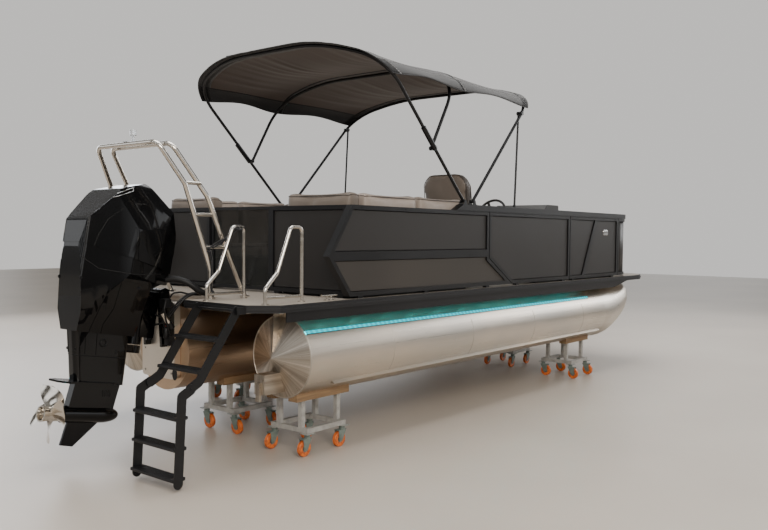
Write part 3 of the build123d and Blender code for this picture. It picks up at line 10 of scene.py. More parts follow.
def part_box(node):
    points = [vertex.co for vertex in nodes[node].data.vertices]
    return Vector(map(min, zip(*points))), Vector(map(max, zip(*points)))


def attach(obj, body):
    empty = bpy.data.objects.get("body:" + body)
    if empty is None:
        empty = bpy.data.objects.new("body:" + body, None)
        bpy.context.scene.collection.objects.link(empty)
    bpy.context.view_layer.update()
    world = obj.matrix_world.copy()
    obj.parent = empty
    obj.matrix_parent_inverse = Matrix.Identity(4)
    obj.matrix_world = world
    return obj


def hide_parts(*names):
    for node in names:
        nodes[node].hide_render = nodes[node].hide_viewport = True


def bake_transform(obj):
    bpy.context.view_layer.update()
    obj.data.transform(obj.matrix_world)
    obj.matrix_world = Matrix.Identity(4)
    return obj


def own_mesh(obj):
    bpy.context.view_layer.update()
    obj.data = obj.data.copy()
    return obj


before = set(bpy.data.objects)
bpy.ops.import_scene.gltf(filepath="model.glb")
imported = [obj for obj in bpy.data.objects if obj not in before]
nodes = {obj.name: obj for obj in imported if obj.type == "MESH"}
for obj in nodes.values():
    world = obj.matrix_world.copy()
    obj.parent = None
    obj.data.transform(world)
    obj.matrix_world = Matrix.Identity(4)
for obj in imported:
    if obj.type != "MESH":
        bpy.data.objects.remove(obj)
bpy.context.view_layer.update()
print("frame loaded:", len(nodes), "nodes")

# Places shared with the CAD, in metres: x counts from the stern fence's aft face, deckTop and tubeZ from the floor
place = {
    "middleX": 2.2133945,
    "deckTop": 1.190,
    "tubeZ": 0.7545,
    "tubeR": 0.3175,
    "tubeY": 0.955,
    "coneX": -0.463,
    "boardX": -0.845,
}
flanks = ((-1, "starboard"), (1, "port"))


def at(x, y, z):  # from the stern fence and the deck to the model's frame
    return Vector((x - place["middleX"], y, z + place["deckTop"]))


def placed(name, data):  # a new object in the scene
    piece = bpy.data.objects.new(name, data)
    bpy.context.scene.collection.objects.link(piece)
    return piece


# Camera, where the photographer stood: behind the starboard quarter
cameraSet = {
    "position": (-4.834, -5.458, 0.511),
    "yaw": 38.7,
    "pitch": 2.14,
    "roll": -0.55,
    "focalPixels": 814.3,
    "imagePixels": 768,
    "sensor": 36,
}


def makeCamera():
    yaw, pitch, roll = (math.radians(cameraSet[k]) for k in ("yaw", "pitch", "roll"))
    forward = Vector((math.cos(yaw) * math.cos(pitch), math.sin(yaw) * math.cos(pitch), -math.sin(pitch)))
    right = Vector((math.sin(yaw), -math.cos(yaw), 0))
    down = forward.cross(right)
    rolledRight = math.cos(roll) * right + math.sin(roll) * down
    rolledDown = -math.sin(roll) * right + math.cos(roll) * down
    data = bpy.data.cameras.new("camera")
    data.sensor_width = cameraSet["sensor"]
    data.lens = cameraSet["focalPixels"] / cameraSet["imagePixels"] * cameraSet["sensor"]
    data.clip_end = 200
    camera = placed("camera", data)
    turn = Matrix((rolledRight, -rolledDown, -forward)).transposed()
    camera.matrix_world = Matrix.Translation(at(*cameraSet["position"])) @ turn.to_4x4()
    bpy.context.scene.camera = camera


makeCamera()

# Studio: a plain floor, a dim hall with tall windows for the gloss to reflect, broad soft lamps
studio = {
    "wallColor": "#dedcd9",
    "hallColor": "#56534f",
    "windowColor": "#f4f6f8",
    "floorColor": "#b9b2a8",
    "roofColor": "#b4b2ae",
    "floorSize": 60,
    "bays": 14,
    "windowGain": 1.8,
    "windowFoot": {1: 0.03, 2: 0.06},
    "windowHead": {1: 0.46, 2: 0.42},
    "windowEdge": {1: 0.42, 2: 0.48},
    "hallStops": (0, 0.485, 0.505, 0.72, 0.80),
    "spillPower": 0.17,
}
studioLamps = (  # name, where, aimed at, size, power, colour
    ("keyWindow", (-8, -9, 6), (0, 0, 1.2), (6, 4), 900, "#fff6ea"),
    ("topBank", (0, 0, 8.5), (0, 0, 0), (12, 5), 900, "#ffffff"),
    ("portWindow", (1, 10, 4), (0, 0, 1.2), (9, 4), 520, "#f4f8ff"),
    ("bowFill", (11, -4, 5), (0, 0, 1.2), (5, 4), 300, "#ffffff"),
)


def srgb(code):
    parts = [int(code.lstrip("#")[i:i + 2], 16) / 255 for i in (0, 2, 4)]
    return tuple(c / 12.92 if c <= 0.04045 else ((c + 0.055) / 1.055) ** 2.4 for c in parts) + (1.0,)


def addNode(tree, kind, values=None, links=None, **settings):
    node = tree.nodes.new(kind)
    for name, value in settings.items():
        setattr(node, name, value)
    for socket, value in (values or {}).items():
        node.inputs[socket].default_value = value
    for socket, source in (links or {}).items():
        tree.links.new(source, node.inputs[socket])
    return node


def newMaterial(name, shader):
    material = bpy.data.materials.new(name)
    material.use_nodes = True
    tree = material.node_tree
    tree.nodes.clear()
    surface = addNode(tree, "ShaderNodeBsdfPrincipled", shader)
    addNode(tree, "ShaderNodeOutputMaterial", links={"Surface": surface.outputs[0]})
    return material, tree, surface


def lamp(name, where, target, size, power, color):
    data = bpy.data.lights.new(name, "AREA")
    data.shape = "RECTANGLE"
    data.size, data.size_y = size
    data.energy = power
    data.color = srgb(color)[:3]
    light = placed(name, data)
    aim = (Vector(target) - Vector(where)).to_track_quat("-Z", "Y")
    light.matrix_world = Matrix.Translation(where) @ aim.to_matrix().to_4x4()
    return light


def ramp(tree, source, stops):
    node = addNode(tree, "ShaderNodeValToRGB", links={"Fac": source})
    ends = node.color_ramp.elements
    while len(ends) < len(stops):
        ends.new(0.5)
    for element, (position, color) in zip(ends, stops):
        element.position = position
        element.color = color
    return node.outputs[0]


def axesOf(tree, vector=None):  # x, y and z of a vector, or of the object's own coordinates
    vector = vector or addNode(tree, "ShaderNodeTexCoord").outputs["Object"]
    return addNode(tree, "ShaderNodeSeparateXYZ", links={"Vector": vector}).outputs


def noise(tree, vector, scale, detail, **more):
    values = {"Scale": scale, "Detail": detail, **more}
    return addNode(tree, "ShaderNodeTexNoise", values, {"Vector": vector}).outputs["Fac"]


def maths(tree, operation, *terms):  # numbers and sockets in the order of the node's inputs
    values = {i: term for i, term in enumerate(terms) if isinstance(term, (int, float))}
    links = {i: term for i, term in enumerate(terms) if i not in values}
    return addNode(tree, "ShaderNodeMath", values, links, operation=operation).outputs[0]


def ranged(tree, source, values):
    return addNode(tree, "ShaderNodeMapRange", values, {0: source}).outputs[0]


def blended(tree, share, first, second, **settings):  # a colour between two sockets or values
    values, links = {}, {}
    for socket, term in ((0, share), (6, first), (7, second)):
        (values if isinstance(term, (tuple, float)) else links)[socket] = term
    return addNode(tree, "ShaderNodeMix", values, links, data_type="RGBA", **settings).outputs[2]


def surroundings(tree):
    # what the gloss reflects: a dim hall with tall bright windows; the camera itself sees a plain pale wall
    parts = axesOf(tree, addNode(tree, "ShaderNodeTexCoord").outputs["Generated"])
    around = maths(tree, "ARCTAN2", parts["Y"], parts["X"])
    bay = maths(tree, "FRACT", maths(tree, "MULTIPLY", around, studio["bays"] / math.tau))
    foot, head = (ranged(tree, parts["Z"], studio[key]) for key in ("windowFoot", "windowHead"))
    window = maths(tree, "MULTIPLY", maths(tree, "MULTIPLY", foot, head), ranged(tree, bay, studio["windowEdge"]))
    lift = ranged(tree, parts["Z"], {1: -1.0, 2: 1.0})
    colors = ("floorColor", "floorColor", "hallColor", "hallColor", "roofColor")
    hall = ramp(tree, lift, [(stop, srgb(studio[key])) for stop, key in zip(studio["hallStops"], colors)])
    lit = tuple(c * studio["windowGain"] for c in srgb(studio["windowColor"])[:3]) + (1,)
    camera = addNode(tree, "ShaderNodeLightPath").outputs["Is Camera Ray"]
    seen = blended(tree, camera, blended(tree, window, hall, lit), srgb(studio["wallColor"]))
    tree.links.new(seen, tree.nodes["Background"].inputs["Color"])


def makeStudio():
    half = studio["floorSize"] / 2
    mesh = bpy.data.meshes.new("floor")
    mesh.from_pydata([(-half, -half, 0), (half, -half, 0), (half, half, 0), (-half, half, 0)], [], [(0, 1, 2, 3)])
    floor = placed("floor", mesh)
    material, tree, surface = newMaterial("polishedConcrete", {"Roughness": 0.42, "Specular IOR Level": 0.35})
    patches = noise(tree, addNode(tree, "ShaderNodeTexCoord").outputs["Object"], 0.5, 6)
    shade = ramp(tree, patches, [(0, srgb("#a89e93")), (1, srgb("#c0b6aa"))])
    tree.links.new(shade, surface.inputs["Base Color"])
    mesh.materials.append(material)
    world = bpy.data.worlds.new("studio")
    bpy.context.scene.world = world
    world.use_nodes = True
    surroundings(world.node_tree)
    for row in studioLamps:
        lamp(*row)
    for side in (-1, 1):  # what the light strips throw back from under the deck's edge
        where, target = at(2.0, side * 1.15, -0.118), at(2.0, side * 1.149, -1)
        lamp("stripSpill", where, target, (4.9, 0.18), studio["spillPower"], "#12e0f0").visible_camera = False


makeStudio()
print("camera and studio done")

# Finishes. Grain and weave are a little coarser than life where they would vanish at the photograph's size
finish = {
    "tubeWarm": "#d6cabb",
    "tubeCool": "#bdb8b0",
    "black": "#111113",
    "panel": "#262423",
    "wing": "#34302c",
    "deck": "#aaa197",
    "seat": "#9c9086",
    "seatDark": "#70665d",
    "canvas": "#19171a",
    "canvasUnder": "#3f332d",
    "caster": "#d9712a",
    "timber": "#8a6f50",
}


def objectCoords(tree, scale=(1, 1, 1)):
    coords = addNode(tree, "ShaderNodeTexCoord")
    return addNode(tree, "ShaderNodeMapping", {"Scale": scale}, {"Vector": coords.outputs["Object"]}).outputs[0]


def grey(value):
    return (value, value, value, 1)


def tint(tree, surface, source, low, high):  # base colour, between two (position, hex) pairs
    stops = [(where, color if isinstance(color, tuple) else srgb(color)) for where, color in (low, high)]
    tree.links.new(ramp(tree, source, stops), surface.inputs["Base Color"])


def blur(tree, surface, source, low, high):  # roughness, between two (position, value) pairs
    stops = [(where, grey(value)) for where, value in (low, high)]
    tree.links.new(ramp(tree, source, stops), surface.inputs["Roughness"])


def bumpFrom(tree, surface, height, distance, strength=0.5):
    bump = addNode(tree, "ShaderNodeBump", {"Strength": strength, "Distance": distance}, {"Height": height})
    tree.links.new(bump.outputs[0], surface.inputs["Normal"])


def crossed(tree, vector, values):  # two sets of bands, one across the other
    bands = [
        addNode(tree, "ShaderNodeTexWave", values, {"Vector": vector}, bands_direction=direction).outputs["Fac"]
        for direction in ("X", "Y")
    ]
    return maths(tree, "MULTIPLY", *bands)


def coneStreaks(tree):
    # the spun tail cones are brushed outwards from their middles; gives the streaks and where they hold
    parts = axesOf(tree)
    off = maths(tree, "SUBTRACT", maths(tree, "ABSOLUTE", parts["Y"]), place["tubeY"])
    rise = maths(tree, "SUBTRACT", parts["Z"], place["tubeZ"])
    spun = addNode(tree, "ShaderNodeCombineXYZ", links={"X": maths(tree, "ARCTAN2", off, rise)})
    streaks = noise(tree, spun.outputs[0], 5.0, 7, Roughness=0.75)
    return streaks, maths(tree, "LESS_THAN", parts["X"], place["coneX"] - place["middleX"])


def brushedAluminium(name, warm, cool, stretch=(0.6, 90, 90), rough=(0.26, 0.42), cones=False, board=None):
    # Rolled sheet brushed along its length: long fine streaks, softly blurred reflections
    material, tree, surface = newMaterial(name, {"Metallic": 1.0, "Roughness": 0.34})
    streaks = noise(tree, objectCoords(tree, stretch), 1.0, 4, Roughness=0.6)
    clouds = noise(tree, objectCoords(tree, (0.5, 1, 1)), 1.6, 3)
    color = ramp(tree, clouds, [(0.3, srgb(cool)), (0.7, srgb(warm))])
    if cones:
        spun, cone = coneStreaks(tree)
        rayed = ramp(tree, spun, [(0.34, srgb("#8a8176")), (0.5, srgb("#b3a99c")), (0.66, srgb("#dcd2c6"))])
        color = blended(tree, cone, color, rayed)
    if board:  # the motor's board at the tube's end is bare plate
        aft = maths(tree, "LESS_THAN", axesOf(tree)["X"], place["boardX"] - place["middleX"])
        color = blended(tree, aft, color, srgb(board))
    tree.links.new(color, surface.inputs["Base Color"])
    blur(tree, surface, streaks, (0.3, rough[0]), (0.7, rough[1]))
    bumpFrom(tree, surface, streaks, 0.0004, 0.25)
    return material


def powderCoat(name, color, roughness, grainMm=0.9):
    # Baked powder: fine orange peel that breaks up the highlight
    material, tree, surface = newMaterial(name, {"Roughness": roughness, "Specular IOR Level": 0.3})
    coords = objectCoords(tree)
    peel = noise(tree, coords, 1000 / grainMm / 3, 2)
    dust = noise(tree, coords, 1.3, 5)
    base = srgb(color)
    lighter = tuple(min(1, c * 1.25 + 0.002) for c in base[:3]) + (1,)
    tint(tree, surface, dust, (0.35, base), (0.75, lighter))
    blur(tree, surface, dust, (0.3, roughness - 0.05), (0.7, roughness + 0.06))
    bumpFrom(tree, surface, peel, 0.00012, 0.4)
    return material


def wovenVinyl(name, light, dark, pitchMm=9.0):
    # Basket-woven vinyl floor: two sets of flat yarns crossing, darker in the gaps
    material, tree, surface = newMaterial(name, {"Roughness": 0.62, "Specular IOR Level": 0.35})
    coords = objectCoords(tree)
    weave = crossed(
        tree, coords, {"Scale": 1000 / pitchMm / 6.2832, "Distortion": 0.6, "Detail": 1, "Detail Scale": 2}
    )
    mixture = maths(tree, "MULTIPLY_ADD", noise(tree, coords, 3, 3), 0.25, weave)
    tint(tree, surface, mixture, (0.1, dark), (0.75, light))
    bumpFrom(tree, surface, weave, 0.0008)
    return material


def marineVinyl(name, color, seamColor):
    # Stitched boat upholstery: soft grain, faint sheen on the crowns
    material, tree, surface = newMaterial(name, {"Roughness": 0.5, "Specular IOR Level": 0.4})
    coords = objectCoords(tree)
    grain = addNode(tree, "ShaderNodeTexVoronoi", {"Scale": 260}, {"Vector": coords}, feature="DISTANCE_TO_EDGE")
    tint(tree, surface, noise(tree, coords, 4, 3), (0.3, seamColor), (0.7, color))
    bumpFrom(tree, surface, grain.outputs["Distance"], 0.0006, 0.35)
    return material


def ledLens():
    # Frosted strip lit from behind by a close row of diodes, brighter in what it lights than to the eye
    material, tree, surface = newMaterial("litStrip", {"Base Color": srgb("#0a8f9a"), "Roughness": 0.4})
    coords = addNode(tree, "ShaderNodeTexCoord")
    row = addNode(
        tree, "ShaderNodeTexWave", {"Scale": 1 / 0.030 / 3.1416 / 2}, {"Vector": coords.outputs["Object"]},
        bands_direction="X",
    )
    glow = ramp(tree, row.outputs["Fac"], [(0.2, srgb("#00b4c8")), (0.9, srgb("#00e6f4"))])
    tree.links.new(glow, surface.inputs["Emission Color"])
    camera = addNode(tree, "ShaderNodeLightPath").outputs["Is Camera Ray"]
    tree.links.new(ranged(tree, camera, {3: 30.0, 4: 0.85}), surface.inputs["Emission Strength"])
    return material


def blurred(name, shader, scale, detail, low, high, stretch=(1, 1, 1)):
    # An even colour whose roughness wanders a little, as on wiped glass, paint and polished metal
    material, tree, surface = newMaterial(name, shader)
    blur(tree, surface, noise(tree, objectCoords(tree, stretch), scale, detail), low, high)
    return material


def glossPaint(name, color):
    # Sprayed and clear-coated: deep black under a wet coat
    return blurred(name, {
        "Base Color": srgb(color), "Roughness": 0.22, "Specular IOR Level": 0.12, "Coat Weight": 0.5,
        "Coat Roughness": 0.02, "Coat IOR": 1.45,
    }, 2.5, 2, (0.3, 0.2), (0.7, 0.26))


def polishedMetal(name, color, low, high):
    return blurred(
        name, {"Metallic": 1.0, "Base Color": srgb(color)}, 14, 4, (0.3, low), (0.75, high), (1, 1, 3)
    )


def canvasCloth(name, outside, pitchMm=2.5):
    # Solution-dyed acrylic: plain weave, quite matte, a little sheen at grazing angles
    material, tree, surface = newMaterial(name, {
        "Roughness": 0.85, "Specular IOR Level": 0.2, "Sheen Weight": 0.25, "Sheen Roughness": 0.5,
    })
    coords = objectCoords(tree)
    weave = crossed(tree, coords, {"Scale": 1000 / pitchMm / 6.2832})
    base = srgb(outside)
    lighter = tuple(c * 1.35 for c in base[:3]) + (1,)
    tint(tree, surface, noise(tree, coords, 2, 4), (0.3, base), (0.75, lighter))
    bumpFrom(tree, surface, weave, 0.0003)
    return material


def timberBoard():
    material, tree, surface = newMaterial("sawnTimber", {"Roughness": 0.75})
    rings = noise(tree, objectCoords(tree, (3, 60, 60)), 1, 5, Distortion=0.6)
    tint(tree, surface, rings, (0.3, "#6d553b"), (0.7, finish["timber"]))
    bumpFrom(tree, surface, rings, 0.0006, 0.4)
    return material


def polyurethane():
    material, tree, surface = newMaterial("castPolyurethane", {"Roughness": 0.38, "Subsurface Weight": 0.05})
    tint(tree, surface, noise(tree, objectCoords(tree), 40, 4), (0.35, "#a5481d"), (0.6, finish["caster"]))
    return material


def dollyPaint():
    # Grey enamel on the square tube; the caster forks below it are yellow-passivated zinc gone dull green
    material, tree, surface = newMaterial("greyDollyEnamel", {"Roughness": 0.5, "Metallic": 0.3})
    coords = addNode(tree, "ShaderNodeTexCoord").outputs["Object"]
    band = ramp(tree, axesOf(tree)["Z"], [(0.168, srgb("#77837c")), (0.1725, srgb("#aaa8a3"))])
    scuff = noise(tree, coords, 22, 5)
    worn = ramp(tree, scuff, [(0.3, grey(0.72)), (0.6, grey(1))])
    tree.links.new(blended(tree, 1.0, band, worn, blend_type="MULTIPLY"), surface.inputs["Base Color"])
    bumpFrom(tree, surface, scuff, 0.0003, 0.3)
    return material


materials = {
    "tube": brushedAluminium("brushedAluminium", finish["tubeWarm"], finish["tubeCool"], cones=True),
    # centre tube: the outer tubes' brushed aluminium made darker and warmer, painted shade and painted warm light;
    # the board at its end stays bare plate
    "tubeCenter": brushedAluminium("paintedWarmLightAluminium", "#c4ab92", "#a08a76", board="#d2cabf"),
    "weld": brushedAluminium("weldBead", "#c9c2b8", "#a8a29a", (90, 90, 90), (0.35, 0.5)),
    "black": powderCoat("satinBlackPowder", finish["black"], 0.38),
    "blackSteel": powderCoat("blackOxideSteel", "#101012", 0.32, 1.2),
    "blackRubber": powderCoat("blackRubberHose", "#0d0d0e", 0.5, 1.5),
    "panel": powderCoat("matteCharcoalPanel", finish["panel"], 0.5),
    "wing": powderCoat("taupePanel", finish["wing"], 0.5),
    "deck": wovenVinyl("wovenVinylFloor", finish["deck"], "#7a7267"),
    "rail": powderCoat("bumperVinyl", "#1b1b1d", 0.5, 2.0),
    "led": ledLens(),
    "lampGlass": blurred("clearLens", {  # clear polycarbonate over a bright reflector
        "Base Color": srgb("#c8ccd0"), "Roughness": 0.12, "Transmission Weight": 0.35, "IOR": 1.58,
    }, 30, 2, (0.3, 0.08), (0.7, 0.2)),
    "seat": marineVinyl("marineVinyl", finish["seat"], "#8b8077"),
    "seatDark": marineVinyl("darkMarineVinyl", finish["seatDark"], "#61584f"),
    "chairBoxing": marineVinyl("darkBoxing", "#4a433e", "#3f3935"),
    "welt": marineVinyl("weltCord", "#4a433d", "#3b3531"),
    "acrylic": blurred("tintedAcrylic", {
        "Base Color": srgb("#1a1c1c"), "Roughness": 0.08, "Alpha": 0.72, "IOR": 1.49,
    }, 5, 3, (0.3, 0.05), (0.7, 0.14)),
    "console": powderCoat("mouldedConsole", "#2b2927", 0.5),
    "cowl": glossPaint("glossBlackCowl", "#020203"),
    "motor": glossPaint("motorBlackPaint", "#030304"),
    "engine": powderCoat("castEngine", "#2a2a2c", 0.6),
    "stainless": polishedMetal("polishedStainless", "#cfc9c0", 0.08, 0.2),
    "chrome": polishedMetal("chromedTrim", "#d8d8d8", 0.05, 0.12),
    "bolt": polishedMetal("plainBolt", "#a9a7a2", 0.2, 0.35),
    "stainlessBolt": polishedMetal("stainlessBolt", "#bcb9b3", 0.15, 0.3),
    "zinc": polishedMetal("zincPlate", "#8e9490", 0.3, 0.5),
    "redCap": powderCoat("redMouldedCap", "#b3201c", 0.35),
    "webbing": canvasCloth("blackWebbing", "#17171a", 3.0),
    "canvas": canvasCloth("acrylicCanvas", finish["canvas"]),
    "canvasUnder": canvasCloth("canvasUnderside", finish["canvasUnder"]),
    "canvasBlack": canvasCloth("blackCanvasBinding", "#131315"),
    "canvasThread": canvasCloth("polyesterThread", "#3a3734", 1.0),
    "thread": canvasCloth("seatThread", "#5f564e", 1.0),
    "dolly": dollyPaint(),
    "timber": timberBoard(),
    "caster": polyurethane(),
}

nodeFinish = {
    "tube": ["pontoon_starboard", "pontoon_port", "crossmembers", "transducer_bracket"],
    "tubeCenter": ["pontoon_center"],
    "black": [
        "side_skirts", "fence_starboard_aft", "fence_starboard_fore", "fence_port_aft", "fence_port_fore",
        "fence_stern", "fence_bow", "cap_rails", "stern_gate_frame", "bow_gate", "ladder_upper",
        "ladder_lower", "ladder_bracket", "bimini_aft_bow", "bimini_mid_bow", "bimini_fore_bow",
        "bimini_struts",
    ],
    "deck": ["deck"],
    "rail": ["rub_rail"],
    "led": ["lamps"],
    "lampGlass": ["stern_light"],
    "seat": ["lounge_starboard", "lounge_port", "bow_lounges", "chair_seat"],
    "acrylic": ["stern_gate_pane"],
    "console": ["console", "helm_wheel", "seat_bases"],
    "cowl": ["motor_cowl"],
    "motor": ["motor_midsection", "gearcase", "transom_bracket", "swivel_bracket"],
    "engine": ["engine_block"],
    "stainless": ["propeller", "tow_bar", "handrails", "cleats", "chair_pedestal"],
    "canvas": ["bimini_canvas"],
    "dolly": ["dolly_frames"],
    "timber": ["dolly_pads"],
}
for key, names in nodeFinish.items():
    for name in names:
        nodes[name].data.materials.clear()
        nodes[name].data.materials.append(materials[key])
for name, node in nodes.items():
    if name.startswith("caster_wheels"):
        node.data.materials.clear()
        node.data.materials.append(materials["caster"])
print("finishes assigned")


def meshObject(name, vertices, faces, key, smooth=False, clean=True):
    mesh = bpy.data.meshes.new(name)
    mesh.from_pydata([tuple(v) for v in vertices], [], faces)
    if clean:
        work = bmesh.new()
        work.from_mesh(mesh)
        bmesh.ops.remove_doubles(work, verts=work.verts, dist=1e-6)
        bmesh.ops.recalc_face_normals(work, faces=work.faces)
        work.to_mesh(mesh)
        work.free()
    mesh.polygons.foreach_set("use_smooth", [smooth] * len(mesh.polygons))
    piece = placed(name, mesh)
    if key:
        mesh.materials.append(materials[key])
    return piece


def bake(piece):  # live modifiers into the mesh
    evaluated = piece.evaluated_get(bpy.context.evaluated_depsgraph_get())
    mesh = bpy.data.meshes.new_from_object(evaluated)
    old = piece.data
    piece.modifiers.clear()
    if piece.type != "MESH":
        solid = placed(piece.name + "Mesh", mesh)
        bpy.data.objects.remove(piece)
        return solid
    piece.data = mesh
    if old.users == 0:
        bpy.data.meshes.remove(old)
    return piece


def smoothed(piece):
    piece.data.polygons.foreach_set("use_smooth", [True] * len(piece.data.polygons))


def thicken(piece, thickness, offset, **settings):
    wall = piece.modifiers.new("wall", "SOLIDIFY")
    wall.thickness = thickness
    wall.offset = offset
    for key, value in settings.items():
        setattr(wall, key, value)
    bake(piece)


def extents(points):
    return (Vector([pick(p[a] for p in points) for a in range(3)]) for pick in (min, max))


def turns(count):  # cosine and sine of even steps round a circle
    return [(math.cos(math.tau * i / count), math.sin(math.tau * i / count)) for i in range(count)]


def roundedBox(x0, x1, y0, y1, radius, steps):  # a flat outline with round corners
    left, right, low, high = x0 + radius, x1 - radius, y0 + radius, y1 - radius
    outline = []
    for quarter, (x, y) in enumerate(((right, high), (left, high), (left, low), (right, low))):
        for i in range(steps + 1):
            a = math.radians(90 * (quarter + i / steps))
            outline.append((x + radius * math.cos(a), y + radius * math.sin(a)))
    return outline


def gridFaces(rows, columns, first=0, closed=False):  # between rows of vertices; closed joins the rows' ends
    faces = []
    for r in range(rows - 1):
        here, above = first + r * columns, first + (r + 1) * columns
        for i in range(columns if closed else columns - 1):
            j = (i + 1) % columns
            faces.append((here + i, here + j, above + j, above + i))
    return faces


def inset2(points, amount):  # a flat outline drawn in by amount, corners kept sharp
    area = sum(a[0] * b[1] - b[0] * a[1] for a, b in zip(points, points[1:] + points[:1]))
    side = 1 if area > 0 else -1
    result = []
    count = len(points)
    for i, point in enumerate(points):
        before = Vector(point) - Vector(points[i - 1])
        after = Vector(points[(i + 1) % count]) - Vector(point)
        n1 = Vector((-before.y, before.x)).normalized() * side
        n2 = Vector((-after.y, after.x)).normalized() * side
        along = (n1 + n2) / max(0.2, 1 + n1.dot(n2))
        result.append(tuple(Vector(point) + along * amount))
    return result


def plate(name, outline, place3, depth, key, edge=0.004):
    # a flat outline set in space by place3(u, v, w), w from 0 to depth, with softened front edges
    n = len(outline)
    rings = [(0, 0), (0, depth - edge), (edge * 0.4, depth - edge * 0.3), (edge, depth)]
    vertices = []
    for inward, w in rings:
        vertices += [place3(u, v, w) for u, v in (inset2(outline, inward) if inward else outline)]
    faces = [tuple(range(n))[::-1]] + gridFaces(len(rings), n, 0, True)
    faces.append(tuple((len(rings) - 1) * n + i for i in range(n)))
    return meshObject(name, vertices, faces, key)


def joined(name, pieces, body="hull"):
    work = bmesh.new()
    slots = []
    for piece in pieces:
        mesh = piece.data
        offsets = []
        for material in mesh.materials:
            if material not in slots:
                slots.append(material)
            offsets.append(slots.index(material))
        before = len(work.faces)
        work.from_mesh(mesh)
        work.faces.ensure_lookup_table()
        for face in work.faces[before:]:
            face.material_index = offsets[min(face.material_index, len(offsets) - 1)] if offsets else 0
    mesh = bpy.data.meshes.new(name)
    work.to_mesh(mesh)
    work.free()
    for material in slots:
        mesh.materials.append(material)
    whole = placed(name, mesh)
    for piece in pieces:
        bpy.data.objects.remove(piece)
    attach(whole, body)
    return whole


def curveThrough(name, points):
    curve = bpy.data.curves.new(name, "CURVE")
    curve.dimensions = "3D"
    spline = curve.splines.new("NURBS")
    spline.points.add(len(points) - 1)
    for target, point in zip(spline.points, points):
        target.co = (*point, 1)
    spline.order_u = 3
    spline.use_endpoint_u = True
    return curve


def sweepTube(name, points, radius, key, sides=12):  # a smooth round tube along points
    curve = curveThrough(name, points)
    curve.resolution_u = 6
    curve.bevel_depth = radius
    curve.bevel_resolution = sides // 4 - 1
    curve.use_fill_caps = True
    curve.materials.append(materials[key])
    return bake(placed(name, curve))


# Geometry Nodes trees
def newTree(name, sockets):
    tree = bpy.data.node_groups.new(name, "GeometryNodeTree")
    tree.interface.new_socket("Geometry", in_out="INPUT", socket_type="NodeSocketGeometry")
    for label, kind, value in sockets:
        socket = tree.interface.new_socket(label, in_out="INPUT", socket_type="NodeSocket" + kind)
        socket.default_value = value
    tree.interface.new_socket("Finish", in_out="INPUT", socket_type="NodeSocketMaterial")
    tree.interface.new_socket("Geometry", in_out="OUTPUT", socket_type="NodeSocketGeometry")
    return tree, tree.nodes.new("NodeGroupInput")


def closeTree(tree, given, geometry, smooth=False):  # makes the instances real and gives them their finish
    last = addNode(tree, "GeometryNodeRealizeInstances", links={"Geometry": geometry})
    if smooth:
        last = addNode(tree, "GeometryNodeSetShadeSmooth", links={"Geometry": last.outputs[0]})
    colored = addNode(tree, "GeometryNodeSetMaterial", links={
        "Geometry": last.outputs[0], "Material": given.outputs["Finish"],
    })
    tree.links.new(colored.outputs[0], tree.nodes.new("NodeGroupOutput").inputs[0])
    return tree


def applyTree(piece, tree, values):
    modifier = piece.modifiers.new("shape", "NODES")
    modifier.node_group = tree
    ids = {item.name: item.identifier for item in tree.interface.items_tree if item.in_out == "INPUT"}
    for label, value in values.items():
        modifier[ids[label]] = value
    return bake(piece)


def aligned(tree, vector):  # a turn that points Z along the vector
    turn = addNode(tree, "FunctionNodeAlignRotationToVector", {"Factor": 1.0}, {"Vector": vector}, axis="Z")
    return turn.outputs[0]


def onPoints(tree, points, instance, turn=None):
    links = {"Points": points, "Instance": instance}
    if turn:
        links["Rotation"] = turn
    return addNode(tree, "GeometryNodeInstanceOnPoints", links=links).outputs[0]


def boltTree():  # hexagon heads on washers, one for each vertex, turned to the vertex's aim
    tree, given = newTree("boltHeads", [("Across", "Float", 0.012), ("Height", "Float", 0.006), ("Sides", "Int", 6)])
    half = maths(tree, "MULTIPLY", given.outputs["Across"], 0.5)
    wide = maths(tree, "MULTIPLY", given.outputs["Across"], 0.85)
    thin = maths(tree, "MULTIPLY", given.outputs["Height"], 0.25)
    head = addNode(tree, "GeometryNodeMeshCylinder", links={
        "Vertices": given.outputs["Sides"], "Radius": half, "Depth": given.outputs["Height"],
    })
    washer = addNode(tree, "GeometryNodeMeshCylinder", {"Vertices": 14}, {"Radius": wide, "Depth": thin})
    lift = addNode(tree, "ShaderNodeCombineXYZ", links={"Z": thin})
    raised = addNode(tree, "GeometryNodeTransform", links={
        "Geometry": head.outputs["Mesh"], "Translation": lift.outputs[0],
    })
    both = addNode(tree, "GeometryNodeJoinGeometry")
    tree.links.new(raised.outputs[0], both.inputs[0])
    tree.links.new(washer.outputs["Mesh"], both.inputs[0])
    aim = addNode(tree, "GeometryNodeInputNamedAttribute", {"Name": "aim"}, data_type="FLOAT_VECTOR")
    turn = aligned(tree, aim.outputs["Attribute"])
    return closeTree(tree, given, onPoints(tree, given.outputs["Geometry"], both.outputs[0], turn))


def ringTree():  # a round bead bent along each edge loop of the input
    tree, given = newTree("roundBead", [("Radius", "Float", 0.004), ("Sides", "Int", 8)])
    line = addNode(tree, "GeometryNodeMeshToCurve", links={"Mesh": given.outputs["Geometry"]})
    section = addNode(tree, "GeometryNodeCurvePrimitiveCircle", links={
        "Resolution": given.outputs["Sides"], "Radius": given.outputs["Radius"],
    })
    swept = addNode(tree, "GeometryNodeCurveToMesh", {"Fill Caps": True}, {
        "Curve": line.outputs[0], "Profile Curve": section.outputs[0],
    })
    return closeTree(tree, given, swept.outputs[0], True)


